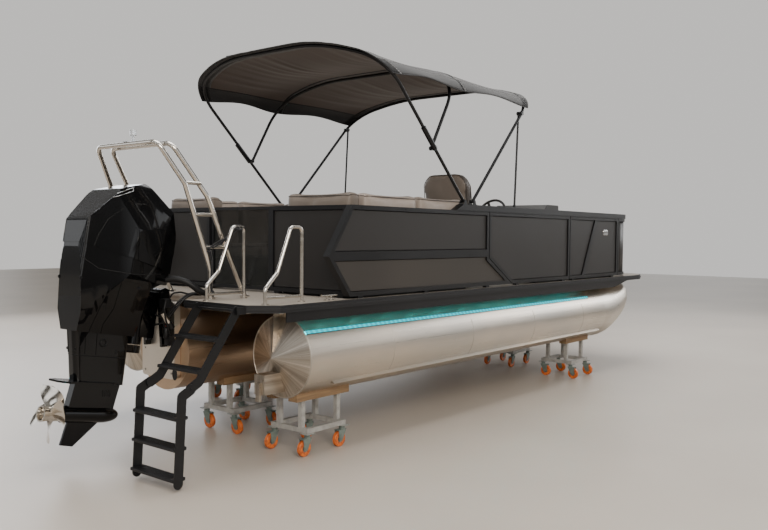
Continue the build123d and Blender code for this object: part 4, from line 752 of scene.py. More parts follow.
def stitchTree():  # thread stitches at an even pitch along the input's edges
    tree, given = newTree(
        "threadStitches", [("Pitch", "Float", 0.02), ("Length", "Float", 0.012), ("Thread", "Float", 0.0018)]
    )
    line = addNode(tree, "GeometryNodeMeshToCurve", links={"Mesh": given.outputs["Geometry"]})
    points = addNode(tree, "GeometryNodeCurveToPoints", links={
        "Curve": line.outputs[0], "Length": given.outputs["Pitch"],
    }, mode="LENGTH").outputs
    thread = addNode(tree, "GeometryNodeMeshCylinder", {"Vertices": 5}, {
        "Radius": given.outputs["Thread"], "Depth": given.outputs["Length"],
    })
    turn = aligned(tree, points["Tangent"])
    return closeTree(tree, given, onPoints(tree, points["Points"], thread.outputs["Mesh"], turn))


def ribTree():  # a comb of low ribs at each input vertex
    tree, given = newTree(
        "gripRibs", [("Count", "Int", 6), ("Step", "Vector", (0.01, 0, 0)), ("Size", "Vector", (0.004, 0.2, 0.003))]
    )
    row = addNode(tree, "GeometryNodeMeshLine", links={
        "Count": given.outputs["Count"], "Offset": given.outputs["Step"],
    })
    rib = addNode(tree, "GeometryNodeMeshCube", links={"Size": given.outputs["Size"]})
    comb = onPoints(tree, row.outputs[0], rib.outputs["Mesh"])
    return closeTree(tree, given, onPoints(tree, given.outputs["Geometry"], comb))


trees = {"bolts": boltTree(), "bead": ringTree(), "stitches": stitchTree(), "ribs": ribTree()}


def bolts(name, rows, body, key="bolt", across=0.014, height=0.006, sides=6):
    piece = meshObject(name, [row[0] for row in rows], [], None, clean=False)
    aims = piece.data.attributes.new("aim", "FLOAT_VECTOR", "POINT")
    aims.data.foreach_set("vector", [c for row in rows for c in row[1]])
    piece = applyTree(piece, trees["bolts"], {
        "Across": across, "Height": height, "Sides": sides, "Finish": materials[key],
    })
    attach(piece, body)
    return piece


def loops(name, lines, closed=False):  # poly lines as a mesh of edges
    vertices, edges = [], []
    for line in lines:
        first = len(vertices)
        vertices += [tuple(p) for p in line]
        edges += [(first + i, first + i + 1) for i in range(len(line) - 1)]
        if closed:
            edges.append((first + len(line) - 1, first))
    mesh = bpy.data.meshes.new(name)
    mesh.from_pydata(vertices, edges, [])
    return placed(name, mesh)


def beads(name, lines, radius, key, body, closed=False, sides=8):
    piece = applyTree(loops(name, lines, closed), trees["bead"], {
        "Radius": radius, "Sides": sides, "Finish": materials[key],
    })
    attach(piece, body)
    return piece


def stitches(name, lines, body, key="thread", pitch=0.018, length=0.011, thread=0.0016, closed=False):
    piece = applyTree(loops(name, lines, closed), trees["stitches"], {
        "Pitch": pitch, "Length": length, "Thread": thread, "Finish": materials[key],
    })
    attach(piece, body)
    return piece


print("tools ready")


# Fence panels: pressed sheets let into each frame, standing a little behind its face
panelSet = {
    "face": 1.262,
    "recess": 0.013,
    "floor": 0.045,
    "frame": 0.036,
    "gap": 0.0012,
    "bottom": 0.020,
    "middle": 0.340,
    "top": 0.744,
    "overlap": 0.0006,
    "bowStart": 5.2392,
    "bowX": 5.75,
    "gatePost": 0.342,
    "bowRadius": 0.430,
    "step": 0.05,
    "edge": 0.006,
}


def makeFencePanels():
    s = panelSet
    bottom, middle, top = s["bottom"], s["middle"], s["top"]
    knee = middle - s["step"]
    border = s["frame"] + s["gap"]
    table = (  # name, outline in x and z, finish
        ("wingUpper", [(0, top), (-0.27, middle), (2.05, middle), (2.05, top)], "panel"),
        ("wingLower", [(-0.27, middle), (-0.02, bottom), (2.51, bottom), (2.05, knee), (2.05, middle)], "wing"),
        ("midSection", [(2.062, top), (2.062, knee), (2.522, bottom), (3.818, bottom), (3.818, top)], "panel"),
        ("bowSectionAft", [(3.83, top), (3.83, bottom), (4.18, bottom), (4.56, top)], "panel"),
        ("bowSectionFore", [(4.56, top), (4.18, bottom), (5.19, bottom), (5.19, top)], "panel"),
    )
    depth = s["floor"] - s["recess"]
    for side, label in flanks:
        floorY = side * (s["face"] - s["floor"] + s["overlap"])
        joined("fencePanels_" + label, [
            plate(name, inset2(outline, border), lambda u, v, w: at(u, floorY + side * w, v), depth, key, s["edge"])
            for name, outline, key in table
        ])
    pieces = []
    for y0, y1 in ((-1.202, -0.332), (0.472, 1.202)):
        drawn = inset2([(y0, bottom), (y1, bottom), (y1, top), (y0, top)], border)
        aftX = s["floor"] - s["overlap"]
        pieces.append(plate("sternPanel", drawn, lambda u, v, w: at(aftX - w, u, v), depth, "panel", s["edge"]))
    joined("fencePanels_stern", pieces)
    for side, label in flanks:  # the curved bow corners
        radius = s["bowRadius"] - s["recess"]
        centerX, centerY = s["bowX"] - s["bowRadius"], s["face"] - s["bowRadius"]
        line = [(s["bowStart"], s["face"] - s["recess"])]
        for i in range(25):
            a = math.pi / 2 * (1 - i / 24)
            line.append((centerX + radius * math.cos(a), centerY + radius * math.sin(a)))
        line.append((s["bowX"] - s["recess"], s["gatePost"] + border))
        vertices, faces = [], []
        for x, y in line:
            vertices += [at(x, side * y, bottom + border), at(x, side * y, top - border)]
        for i in range(len(line) - 1):
            faces.append((2 * i, 2 * i + 2, 2 * i + 3, 2 * i + 1))
        panel = meshObject("bowPanel_" + label, vertices, faces, "panel", clean=False)
        thicken(panel, depth - 0.002, side)
        for polygon in panel.data.polygons:
            polygon.use_smooth = abs(polygon.normal.z) < 0.5
        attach(panel, "hull")
    spots = [(x, 0.325) for x in (0.35, 1.02, 1.70)]
    spots += [(x, z) for x in (2.75, 3.45, 4.0, 4.75, 5.1, 0.12, 0.7, 1.3, 1.9) for z in (0.038, 0.726)]
    rows = [(at(x, side * s["face"], z), (0, side, 0)) for side in (-1, 1) for x, z in spots]
    bolts("fenceRivets", rows, "hull", "blackSteel", 0.012, 0.003, 12)


makeFencePanels()
print("fence panels done")

# Light strips: a frosted lens in a dark channel on each outer tube; docking lamps in the fence near the bow
lampSet = {"angle": 40, "height": 0.036, "stand": 0.008, "start": -0.45, "end": 4.45, "overlap": 0.0006, "rim": 0.004}
dockingSet = {
    "x": 4.84, "z": 0.56, "half": 0.070, "tall": 0.034, "corner": 0.02, "y": 1.217, "depth": 0.036, "rim": 0.008,
    "reflectors": (-0.035, 0, 0.035), "reflector": 0.013,
}


def makeLamps():
    s, d = lampSet, dockingSet
    turn = math.radians(s["angle"])
    pieces = []
    for side in (-1, 1):
        out = Vector((0, side * math.cos(turn), math.sin(turn)))
        up = Vector((0, -side * math.sin(turn), math.cos(turn)))
        center = Vector((-place["middleX"], side * place["tubeY"], place["tubeZ"]))
        base = center + out * (place["tubeR"] - s["overlap"])
        for name, half, depth, key in (
            ("channel", s["height"] / 2, s["stand"] * 0.7, "blackSteel"),
            ("lens", s["height"] / 2 - s["rim"], s["stand"], "led"),
        ):
            outline = [(s["start"], -half), (s["end"], -half), (s["end"], half), (s["start"], half)]
            pieces.append(plate(
                name, outline, lambda u, v, w: base + Vector((u, 0, 0)) + up * v + out * w, depth, key, 0.0015,
            ))
    x, z = d["x"], d["z"]
    outline = roundedBox(x - d["half"], x + d["half"], z - d["tall"], z + d["tall"], d["corner"], 5)
    for side in (-1, 1):
        def onFence(u, v, w):
            return at(u, side * (d["y"] + w), v)
        pieces.append(plate("bezel", outline, onFence, d["depth"], "chrome", 0.004))
        pieces.append(plate("lampGlass", inset2(outline, d["rim"]), onFence, d["depth"] + 0.0008, "lampGlass", 0.003))
        for dx in d["reflectors"]:
            ring = [(x + dx + d["reflector"] * c, z + d["reflector"] * sn) for c, sn in turns(18)]
            pieces.append(plate("reflector", ring, onFence, d["depth"] + 0.0012, "chrome", 0.002))
    whole = joined("lampStrips", pieces)
    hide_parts("lamps")


makeLamps()
print("lamps done")

# Tubes: weld beads round the shells, open where the riser, the skirt and the lamp strip stand, and at the tail cones
weldSet = {
    "seams": (0.55, 1.78, 3.0, 4.2),
    "outerArc": (62, 300),
    "centerArc": (25, 335),
    "tailX": -0.461,
    "radius": 0.0022,
    "tailRadius": 0.003,
}


def ringAround(centerY, x, steps, start=0, end=math.tau):
    count = steps if end - start > 6.2 else steps + 1
    angles = [start + (end - start) * i / steps for i in range(count)]
    radius = place["tubeR"]
    return [
        Vector((x - place["middleX"], centerY + radius * math.sin(a), place["tubeZ"] + radius * math.cos(a)))
        for a in angles
    ]


def makeWelds():
    s = weldSet
    rings = []
    for y in (-place["tubeY"], 0, place["tubeY"]):
        start, end = (math.radians(a) for a in (s["outerArc"] if y else s["centerArc"]))
        for x in s["seams"]:
            ring = ringAround(y, x, 64, start, end)
            if y < 0:
                ring = [Vector((p.x, 2 * y - p.y, p.z)) for p in ring]
            rings.append(ring)
    beads("shellWelds", rings, s["radius"], "weld", "hull")
    tails = [ringAround(side * place["tubeY"], s["tailX"], 96) for side in (-1, 1)]
    beads("tailWelds", tails, s["tailRadius"], "weld", "hull", True)


makeWelds()
print("welds done")

# Canvas top: one arched sheet stretched over the three bows, with its hems, webbing bands and stitches
canvasSet = {
    "half": 1.222,
    "tube": 0.015,
    "lift": 0.012,
    "bend": 0.42,
    "crownBend": 1.55,
    "topZ": 1.970,
    "crownZ": 2.140,
    "footZ": 0.835,
    "aftFoot": 1.64,
    "aftTop": 0.45,
    "foreFoot": 1.80,
    "foreTop": 2.90,
    "midTop": 1.56,
    "overhang": 0.040,
    "sag": 0.045,
    "edgePull": 0.040,
    "valance": 0.165,
    "across": 150,
    "along": 84,
    "folds": 44,
    "foldWidth": 0.011,
    "ripple": 0.0042,
    "cloth": 0.0022,
    "hem": 0.0055,
    "webbing": 0.006,
    "uvAcross": 3.1,
    "uvAlong": 2.6,
    "stitchLift": 0.0045,
    "middleBand": 0.03,
}


def filletLine(points, radii, steps=10):  # a polyline whose corners are arcs, as 2-D points
    result = [Vector(points[0])]
    for before, here, after, radius in zip(points, points[1:], points[2:], radii):
        a, b, c = Vector(before), Vector(here), Vector(after)
        u, v = (a - b).normalized(), (c - b).normalized()
        angle = u.angle(v)
        reach = radius / math.tan(angle / 2)
        start, end = b + u * reach, b + v * reach
        center = b + (u + v).normalized() * (radius / math.sin(angle / 2))
        r0, r1 = start - center, end - center
        sweep = r0.angle(r1)
        for i in range(steps + 1):
            t = i / steps
            result.append(center + (r0 * math.sin((1 - t) * sweep) + r1 * math.sin(t * sweep)) / math.sin(sweep))
    result.append(Vector(points[-1]))
    return result


def evenly(points, count):  # points at even steps along a line
    lengths = [0]
    for a, b in zip(points, points[1:]):
        lengths.append(lengths[-1] + (b - a).length)
    result = []
    k = 0
    for i in range(count):
        want = lengths[-1] * i / (count - 1)
        while k < len(points) - 2 and lengths[k + 1] < want:
            k += 1
        span = lengths[k + 1] - lengths[k]
        result.append(points[k].lerp(points[k + 1], 0 if span == 0 else (want - lengths[k]) / span))
    return result


def rounded(route, radius, count):  # a route in the boat's own places, its corners rounded, at even steps
    return evenly(filletLine([at(*p) for p in route], [radius] * (len(route) - 2), 6), count)


def archSection(grow, count):
    # the bows' shape across the boat, drawn in the leaning plane of the aft bow; gives width and height
    s = canvasSet
    rise = s["topZ"] - s["footZ"]
    length = math.hypot(s["aftTop"] - s["aftFoot"], rise)
    lean = length / rise
    half, top, crown = s["half"] + grow, length + grow * 0.8, (s["crownZ"] - s["footZ"]) * lean + grow
    low = length - s["valance"]
    foot = length - 2 * (s["bend"] + grow)
    bends = [s[key] + grow for key in ("bend", "crownBend", "crownBend", "bend")]
    line = filletLine(
        [(-half, foot), (-half, top), (-half / 2, crown), (half / 2, crown), (half, top), (half, foot)], bends, 16,
    )
    line = [Vector((p.x, p.y / lean + s["footZ"])) for p in evenly(line, 600) if p.y >= low]
    return evenly(line, count)


def bowX(z, foot, top):
    s = canvasSet
    return foot + (top - foot) * (z - s["footZ"]) / (s["topZ"] - s["footZ"])


def makeCanvas():
    s = canvasSet
    rng = random.Random(7)
    nu, nv = s["across"] + 1, s["along"] + 1
    arch = archSection(s["tube"] + s["lift"], nu)
    folds = [(rng.uniform(0, 1), rng.uniform(-0.5, 0.5), rng.uniform(0.3, 1.0)) for _ in range(s["folds"])]
    vertices, uvs = [], []
    for j in range(nv):
        v = j / (nv - 1)
        for i, (y, z) in enumerate(arch):
            u = i / (nu - 1)
            aft = bowX(z, s["aftFoot"], s["aftTop"])
            fore = bowX(z, s["foreFoot"], s["foreTop"])
            middle = (s["midTop"] - aft) / (fore - aft)
            bow = 0.5 - 0.5 * math.cos(2 * math.pi * (v / middle if v < middle else (v - middle) / (1 - middle)))
            x = aft - s["overhang"] * (1 - v) + (fore - aft) * v + s["overhang"] * v
            crown = max(0, math.sin(math.pi * u)) ** 0.7
            drop = s["sag"] * bow * crown  # hangs between the bows
            pull = s["edgePull"] * bow * max(0, 1 - min(u, 1 - u) / 0.10) ** 1.4  # the side edges curve in and up
            ripple = 0
            for start, slant, weight in folds:
                d = (u - start - slant * 0.06 * (v - 0.5)) / s["foldWidth"]
                if abs(d) < 3:
                    ripple += weight * math.exp(-d * d) * (0.25 + bow)
            flat = Vector((x, y, z))
            outward = Vector((0, y / s["half"] * 0.9, 1 - 0.5 * abs(y) / s["half"])).normalized()
            flat -= outward * (drop + ripple * s["ripple"])
            flat.z += pull
            flat.y -= math.copysign(pull * 0.35, y)
            vertices.append(at(*flat))
            uvs.append((u * s["uvAcross"], v * s["uvAlong"]))
    faces = gridFaces(nv, nu)
    piece = meshObject("canvasTop", vertices, faces, "canvas", True, False)
    layer = piece.data.uv_layers.new(name="weave")
    for loop in piece.data.loops:
        layer.data[loop.index].uv = uvs[loop.vertex_index]
    if piece.data.polygons[len(faces) // 2].normal.z < 0:
        piece.data.flip_normals()
    piece.data.materials.append(materials["canvasUnder"])
    thicken(piece, s["cloth"], -1, material_offset=1)
    smoothed(piece)
    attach(piece, "bimini_aft_body")
    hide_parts("bimini_canvas")

    def row(j, lift=0.0):  # a line of the sheet across the boat
        return [vertices[j * nu + i] + Vector((0, 0, lift)) for i in range(nu)]

    def column(i, lift=0.0):  # a line of the sheet along the boat
        return [vertices[j * nu + i] + Vector((0, 0, lift)) for j in range(nv)]

    hemLines = [row(0), row(nv - 1), column(0), column(nu - 1)]
    hems = beads("canvasHems", hemLines, s["hem"], "canvasBlack", "bimini_aft_body")
    middles = [sum(p.x for p in row(j)) / nu + place["middleX"] for j in range(nv)]
    nearest = min((abs(x - s["midTop"] - s["middleBand"]), j) for j, x in enumerate(middles))[1]
    bands = [[row(j) for j in range(first, last)] for first, last in ((0, 6), (nv - 6, nv))]
    for first, last in ((0, 10), (nu - 10, nu)):
        bands.append([row(j)[first:last] for j in range(nv)])
    bands.append([row(j) for j in range(nearest - 1, nearest + 2)])
    bandVertices, bandFaces = [], []
    for grid in bands:
        bandFaces += gridFaces(len(grid), len(grid[0]), len(bandVertices))
        for line in grid:
            bandVertices += line
    band = meshObject("canvasBands", bandVertices, bandFaces, "canvasBlack", True, False)
    thicken(band, s["webbing"], 0)
    smoothed(band)
    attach(band, "bimini_aft_body")
    lines = []
    for lift in (-s["stitchLift"], s["stitchLift"]):  # under and on top of the cloth
        lines += [row(4, lift), row(nv - 5, lift), column(8, lift), column(nu - 9, lift)]
    thread = stitches("canvasStitches", lines, "bimini_aft_body", "canvasThread", 0.022, 0.013, 0.0012)
    for part in (piece, hems, band, thread):
        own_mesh(part)


makeCanvas()


# Sleeves that slide on the aft bow's legs above the clamps, and the latch on its crown
sleeveSet = {"heights": (1.285, 1.37, 1.455), "aft": 0.006, "out": 0.003, "radius": 0.0235}
latchSet = {"aft": 0.020, "lift": 0.010, "from": 0.44, "to": 0.53, "half": 0.011, "depth": 0.022}


def makeBowSleeves():
    c, s, k = canvasSet, sleeveSet, latchSet
    pieces = []
    for side in (-1, 1):
        line = [
            at(bowX(z, c["aftFoot"], c["aftTop"]) - s["aft"], side * (c["half"] + s["out"]), z) for z in s["heights"]
        ]
        pieces.append(sweepTube("slideSleeve", line, s["radius"], "blackSteel", 20))
    x, z = bowX(c["crownZ"], c["aftFoot"], c["aftTop"]) - k["aft"], c["crownZ"] + k["lift"]
    outline = [(k["from"], -k["half"]), (k["to"], -k["half"]), (k["to"], k["half"]), (k["from"], k["half"])]
    pieces.append(plate("crownLatch", outline, lambda u, v, w: at(x + v, u, z + w), k["depth"], "blackSteel"))
    joined("bowSleeves", pieces, "bimini_aft_body")


makeBowSleeves()
print("canvas done")


# Cushions: each solid of the seats swells over its foam, then gets its welts and sewn channels
cushionSet = {
    "voxel": 0.026,
    "shrink": 0.007,
    "fineUnder": 0.1,
    "fineShare": 0.75,
    "pressure": 4.0,
    "stiffness": 20,
    "bending": 1.5,
    "frames": 20,
    "cap": 0.018,
    "channelDepth": 0.006,
    "channelWidth": 0.010,
    "channelReach": 0.05,
    "channelFade": 0.02,
    "backPitch": 0.22,
    "seatPitch": 0.30,
    "darkAft": 0.35,
    "darkFore": 1.9,
    "portY": 0.35,
    "backAbove": 0.6,
    "welt": 0.0042,
}


def looseSolids(mesh):  # vertices and faces of each closed part, in the order of the mesh's own vertices
    work = bmesh.new()
    work.from_mesh(mesh)
    bmesh.ops.remove_doubles(work, verts=work.verts, dist=1e-5)
    work.verts.index_update()
    seen, result = set(), []
    for seed in work.verts:
        if seed.index in seen:
            continue
        seen.add(seed.index)
        group = [seed]
        for v in group:  # grows while it is read
            for edge in v.link_edges:
                other = edge.other_vert(v)
                if other.index not in seen:
                    seen.add(other.index)
                    group.append(other)
        index = {v: k for k, v in enumerate(group)}
        faces = [tuple(index[v] for v in f.verts) for f in work.faces if f.verts[0] in index]
        result.append(([v.co.copy() for v in group], faces))
    work.free()
    return result


def swell(solids, name):
    # all the solids in one simulation; returns a puffed mesh object for each
    s = cushionSet
    pieces = []
    for k, (vertices, faces) in enumerate(solids):
        low, high = extents(vertices)
        middle = (low + high) / 2
        size = high - low
        ratio = Vector([(size[a] - 2 * s["shrink"]) / size[a] for a in range(3)])
        moved = [middle + Vector([(v[a] - middle[a]) * ratio[a] for a in range(3)]) for v in vertices]
        piece = meshObject(f"{name}_{k}", moved, faces, None)
        remesh = piece.modifiers.new("voxels", "REMESH")
        remesh.mode = "VOXEL"
        remesh.voxel_size = s["voxel"] * (s["fineShare"] if min(size) < s["fineUnder"] else 1)
        bake(piece)
        pieces.append(piece)
    start = []
    for piece in pieces:
        start.append([v.co.copy() for v in piece.data.vertices])
        cloth = piece.modifiers.new("foam", "CLOTH")
        cloth.settings.use_pressure = True
        cloth.settings.uniform_pressure_force = s["pressure"]
        cloth.settings.effector_weights.gravity = 0
        cloth.settings.quality = 5
        cloth.settings.tension_stiffness = s["stiffness"]
        cloth.settings.compression_stiffness = s["stiffness"]
        cloth.settings.bending_stiffness = s["bending"]
        cloth.collision_settings.use_collision = False
        cloth.point_cache.frame_start = 1
        cloth.point_cache.frame_end = s["frames"]
    for frameNumber in range(1, s["frames"] + 1):
        bpy.context.scene.frame_set(frameNumber)
    graph = bpy.context.evaluated_depsgraph_get()
    for piece, rest in zip(pieces, start):
        mesh = bpy.data.meshes.new_from_object(piece.evaluated_get(graph))
        piece.modifiers.clear()
        for v, was in zip(mesh.vertices, rest):
            move = v.co - was
            if move.length > s["cap"]:
                v.co = was + move * (s["cap"] / move.length)
        piece.data = mesh
    bpy.context.scene.frame_set(1)
    for piece in pieces:
        finer = piece.modifiers.new("finer", "SUBSURF")
        finer.levels = finer.render_levels = 1
        bake(piece)
    return pieces


def channels(piece, axis, places, faceAxis, side):
    # sewn grooves across a cushion, pressed in on the side that is sat on
    s = cushionSet
    coords = [v.co for v in piece.data.vertices]
    top = max(side * c[faceAxis] for c in coords)
    for v in piece.data.vertices:
        near = side * v.co[faceAxis] - (top - s["channelReach"])
        if near <= 0:
            continue
        dent = 0
        for where in places:
            d = (v.co[axis] - where) / s["channelWidth"]
            if abs(d) < 3:
                dent = max(dent, math.exp(-d * d))
        v.co[faceAxis] -= side * dent * s["channelDepth"] * min(1, near / s["channelFade"])


def surfaceOf(mesh):
    return BVHTree.FromPolygons([v.co for v in mesh.vertices], [p.vertices for p in mesh.polygons])


def roundedLoop(low, high, radius, z):
    line = [Vector((x, y, z)) for x, y in roundedBox(low.x, high.x, low.y, high.y, radius, 6)]
    return line + line[:1]


def snapped(piece, line, lift=0.0015):  # a line laid on the cushion's own surface
    tree = surfaceOf(piece.data)
    found = [tree.find_nearest(point) for point in line]
    return [hit + normal * lift for hit, normal, _, _ in found]


def makeCushions():
    s = cushionSet
    for node, label in (
        ("lounge_starboard", "starboardLounge"), ("lounge_port", "portLounge"), ("bow_lounges", "bowChaises"),
    ):
        pieces = swell(looseSolids(nodes[node].data), label)
        lines = []
        for piece in pieces:
            low, high = extents([v.co for v in piece.data.vertices])
            size = high - low
            isBack = high.z > place["deckTop"] + s["backAbove"]
            middleX = (low.x + high.x) / 2 + place["middleX"]
            dark = node != "bow_lounges" and (middleX < s["darkAft"] or middleX > s["darkFore"]) and isBack
            piece.data.materials.clear()
            piece.data.materials.append(materials["seatDark" if dark else "seat"])
            if isBack:
                axis = 0 if size.x > size.y else 1
                faceAxis = 1 - axis
                side = -1 if faceAxis and (low.y + high.y) / 2 > s["portY"] else 1
            else:
                axis = 0 if size.x >= size.y else 1
                faceAxis, side = 2, 1
            count = max(2, round(size[axis] / s["backPitch" if isBack else "seatPitch"]))
            grooves = [low[axis] + size[axis] * (i + 1) / count for i in range(count - 1)]
            channels(piece, axis, grooves, faceAxis, side)
            smoothed(piece)
            lines.append(snapped(piece, roundedLoop(low, high, 0.035, high.z - 0.018)))
            lines.append(snapped(piece, roundedLoop(low, high, 0.025, low.z + 0.03)))
        whole = joined(label, pieces)
        smoothed(whole)
        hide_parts(node)
        beads(label + "Welts", lines, s["welt"], "welt", "hull", sides=6)


# Captain's chair: where its back starts, the channels up the back and the rims of its bolsters
chairSet = {
    "y": -0.70,
    "half": 0.24,
    "backFoot": 0.62,
    "backFrom": 2.16,
    "backTo": 2.30,
    "channels": (0.72, 0.84, 0.96),
    "width": 0.011,
    "depth": 0.006,
    "top": 1.15,
    "lean": 0.13,
    "rims": (2.072, 2.16),
    "rimRadius": 0.145,
}


def makeChair():
    s = chairSet
    whole = joined("captainChair", swell(looseSolids(nodes["chair_seat"].data), "chairFoam"), "chair_body")
    whole.data.materials.clear()
    whole.data.materials.append(materials["seatDark"])
    whole.data.materials.append(materials["chairBoxing"])
    for v in whole.data.vertices:
        x, y, z = v.co.x + place["middleX"], v.co.y, v.co.z - place["deckTop"]
        if z > s["backFoot"] and s["backFrom"] < x < s["backTo"] and abs(y - s["y"]) < s["half"]:
            for where in s["channels"]:
                v.co.x -= s["depth"] * math.exp(-((z - where) / s["width"]) ** 2)
    smoothed(whole)
    for polygon in whole.data.polygons:
        if abs(polygon.normal.x) < 0.72 and polygon.center.z > place["deckTop"] + s["backFoot"]:
            polygon.material_index = 1
    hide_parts("chair_seat")
    corners = [(-0.968, 0.52), (-0.968, 1.138), (-0.432, 1.138), (-0.432, 0.52)]
    outline = filletLine(corners, (s["rimRadius"], s["rimRadius"]))
    rims = [
        snapped(whole, [at(x + (s["top"] - p.y) * s["lean"], p.x, p.y) for p in outline]) for x in s["rims"]
    ]
    beads("chairWelts", rims, 0.0045, "welt", "chair_body", sides=6)


makeCushions()
makeChair()
print("cushions done")


# Outboard: skin panels, trim and seal lines on the cowl and apron, then the clamp's gear and the rigging
motorSet = {
    "tiltX": -0.912,
    "tiltZ": 0.030,
    "trim": 10,
    "skin": 0.003,
    "reach": 0.6,
    "bolts": ((-0.33, -0.49), (-0.66, -0.49), (-0.76, 0.02), (-0.33, 0.01)),
    "port": (-0.45, -0.43),
    "portRadius": 0.024,
    "strut": 0.0335,
    "inlets": (-0.30, -0.32, -0.34, -0.36),
    "bottle": (-0.945, -0.165, -0.315),
}


def motorAt(x, y, z):  # from the motor's own frame, on its tilt axis
    a = math.radians(motorSet["trim"])
    return at(motorSet["tiltX"] + x * math.cos(a) + z * math.sin(a), y,
              motorSet["tiltZ"] - x * math.sin(a) + z * math.cos(a))


def inside2(outline, x, z):
    odd = False
    for (x0, z0), (x1, z1) in zip(outline, outline[1:] + outline[:1]):
        if (z0 > z) != (z1 > z) and x < x0 + (x1 - x0) * (z - z0) / (z1 - z0):
            odd = not odd
    return odd


def skinPatch(name, node, surface, outline, side, thickness, key):
    # the housing's own faces inside an outline drawn in the motor's x and z, given a thin raised edge
    work = bmesh.new()
    work.from_mesh(nodes[node].data)
    for a, b in zip(outline, outline[1:] + outline[:1]):
        start = motorAt(a[0], 0, a[1])
        across = (motorAt(b[0], 0, b[1]) - start).cross(Vector((0, 1, 0))).normalized()
        bmesh.ops.bisect_plane(
            work, geom=work.verts[:] + work.edges[:] + work.faces[:], plane_co=start, plane_no=across
        )
    axis = motorAt(0, 0, 0)
    along, up = motorAt(1, 0, 0) - axis, motorAt(0, 0, 1) - axis
    work.normal_update()
    gone = []
    for face in work.faces:
        center = face.calc_center_median()
        flat = center - axis
        hidden = surface.ray_cast(center + Vector((0, side * 0.002, 0)), Vector((0, side, 0)), 2.0)[0] is not None
        if face.normal.y * side < 0.08 or hidden or not inside2(outline, flat.dot(along), flat.dot(up)):
            gone.append(face)
    bmesh.ops.delete(work, geom=gone, context="FACES")
    bmesh.ops.remove_doubles(work, verts=work.verts, dist=1e-5)
    work.normal_update()
    for v in work.verts:
        v.co += v.normal * 0.0004
    mesh = bpy.data.meshes.new(name)
    work.to_mesh(mesh)
    work.free()
    piece = placed(name, mesh)
    mesh.materials.clear()
    mesh.materials.append(materials[key])
    thicken(piece, thickness, 1, use_even_offset=True)
    smoothed(piece)
    piece.data.set_sharp_from_angle(angle=math.radians(22))
    return piece


def skinPoint(surface, x, z, side, lift=0.0):  # where a line of sight from abeam meets the flank
    hit = surface.ray_cast(motorAt(x, side * motorSet["reach"], z), Vector((0, -side, 0)), 1.0)[0]
    return None if hit is None else hit + Vector((0, side * lift, 0))


def skinLine(surface, points, side, count=60, lift=0.0):  # a line laid on the flank
    found = [skinPoint(surface, p.x, p.y, side, lift) for p in evenly([Vector(p) for p in points], count)]
    return [point for point in found if point is not None]


# each panel of the motor's skin, in the motor's own x and z, with the housing that carries it
skinTable = (
    ("browPanel", "motor_cowl", (
        (-0.43, 0.735), (-0.665, 0.492), (-0.80, 0.478), (-0.79, 0.54), (-0.62, 0.68), (-0.45, 0.765),
    )),
    ("rearFacet", "motor_cowl", (
        (-0.655, 0.462), (-0.705, 0.345), (-0.742, 0.19), (-0.80, 0.232), (-0.80, 0.455),
    )),
    ("flankFacet", "motor_cowl", (
        (-0.425, 0.705), (-0.645, 0.470), (-0.693, 0.345), (-0.730, 0.175), (-0.645, 0.128), (-0.395, 0.122),
        (-0.447, 0.478),
    )),
    ("noseFacet", "motor_cowl", (
        (-0.375, 0.700), (-0.430, 0.478), (-0.375, 0.128), (-0.050, 0.170), (0.010, 0.400), (-0.125, 0.570),
    )),
    ("apronRear", "motor_midsection", (
        (-0.555, 0.045), (-0.60, -0.181), (-0.622, -0.341), (-0.60, -0.52), (-0.69, -0.52), (-0.745, -0.34),
        (-0.79, -0.02), (-0.80, 0.16), (-0.735, 0.115), (-0.65, 0.055),
    )),
    ("apronMiddle", "motor_midsection", (
        (-0.495, 0.045), (-0.487, -0.169), (-0.530, -0.294), (-0.510, -0.52), (-0.588, -0.52), (-0.610, -0.341),
        (-0.588, -0.181), (-0.543, 0.045),
    )),
    ("apronFront", "motor_midsection", (
        (-0.30, 0.035), (-0.30, -0.20), (-0.30, -0.52), (-0.498, -0.52), (-0.518, -0.294), (-0.475, -0.169),
        (-0.483, 0.045),
    )),
)
trimLine = ((-0.748, 0.555), (-0.677, 0.63), (-0.473, 0.743), (-0.475, 0.714), (-0.67, 0.615), (-0.748, 0.555))
sealLine = ((-0.14, 0.140), (-0.398, 0.100), (-0.65, 0.104), (-0.749, 0.156), (-0.824, 0.222), (-0.838, 0.262))
apronSeam = ((-0.24, -0.53), (-0.50, -0.532), (-0.72, -0.532))
bottleRows = (  # each part of the primer bottle: finish, then radius and height of its rings
    ("bottleBody", "blackRubber", (
        (0.0, 0.0), (0.021, 0.0), (0.024, 0.006), (0.024, 0.075), (0.018, 0.085), (0.011, 0.089), (0.011, 0.094),
    )),
    ("bottleCap", "redCap", (
        (0.0, 0.094), (0.0145, 0.094), (0.0155, 0.098), (0.0155, 0.113), (0.012, 0.117), (0.0, 0.117),
    )),
)


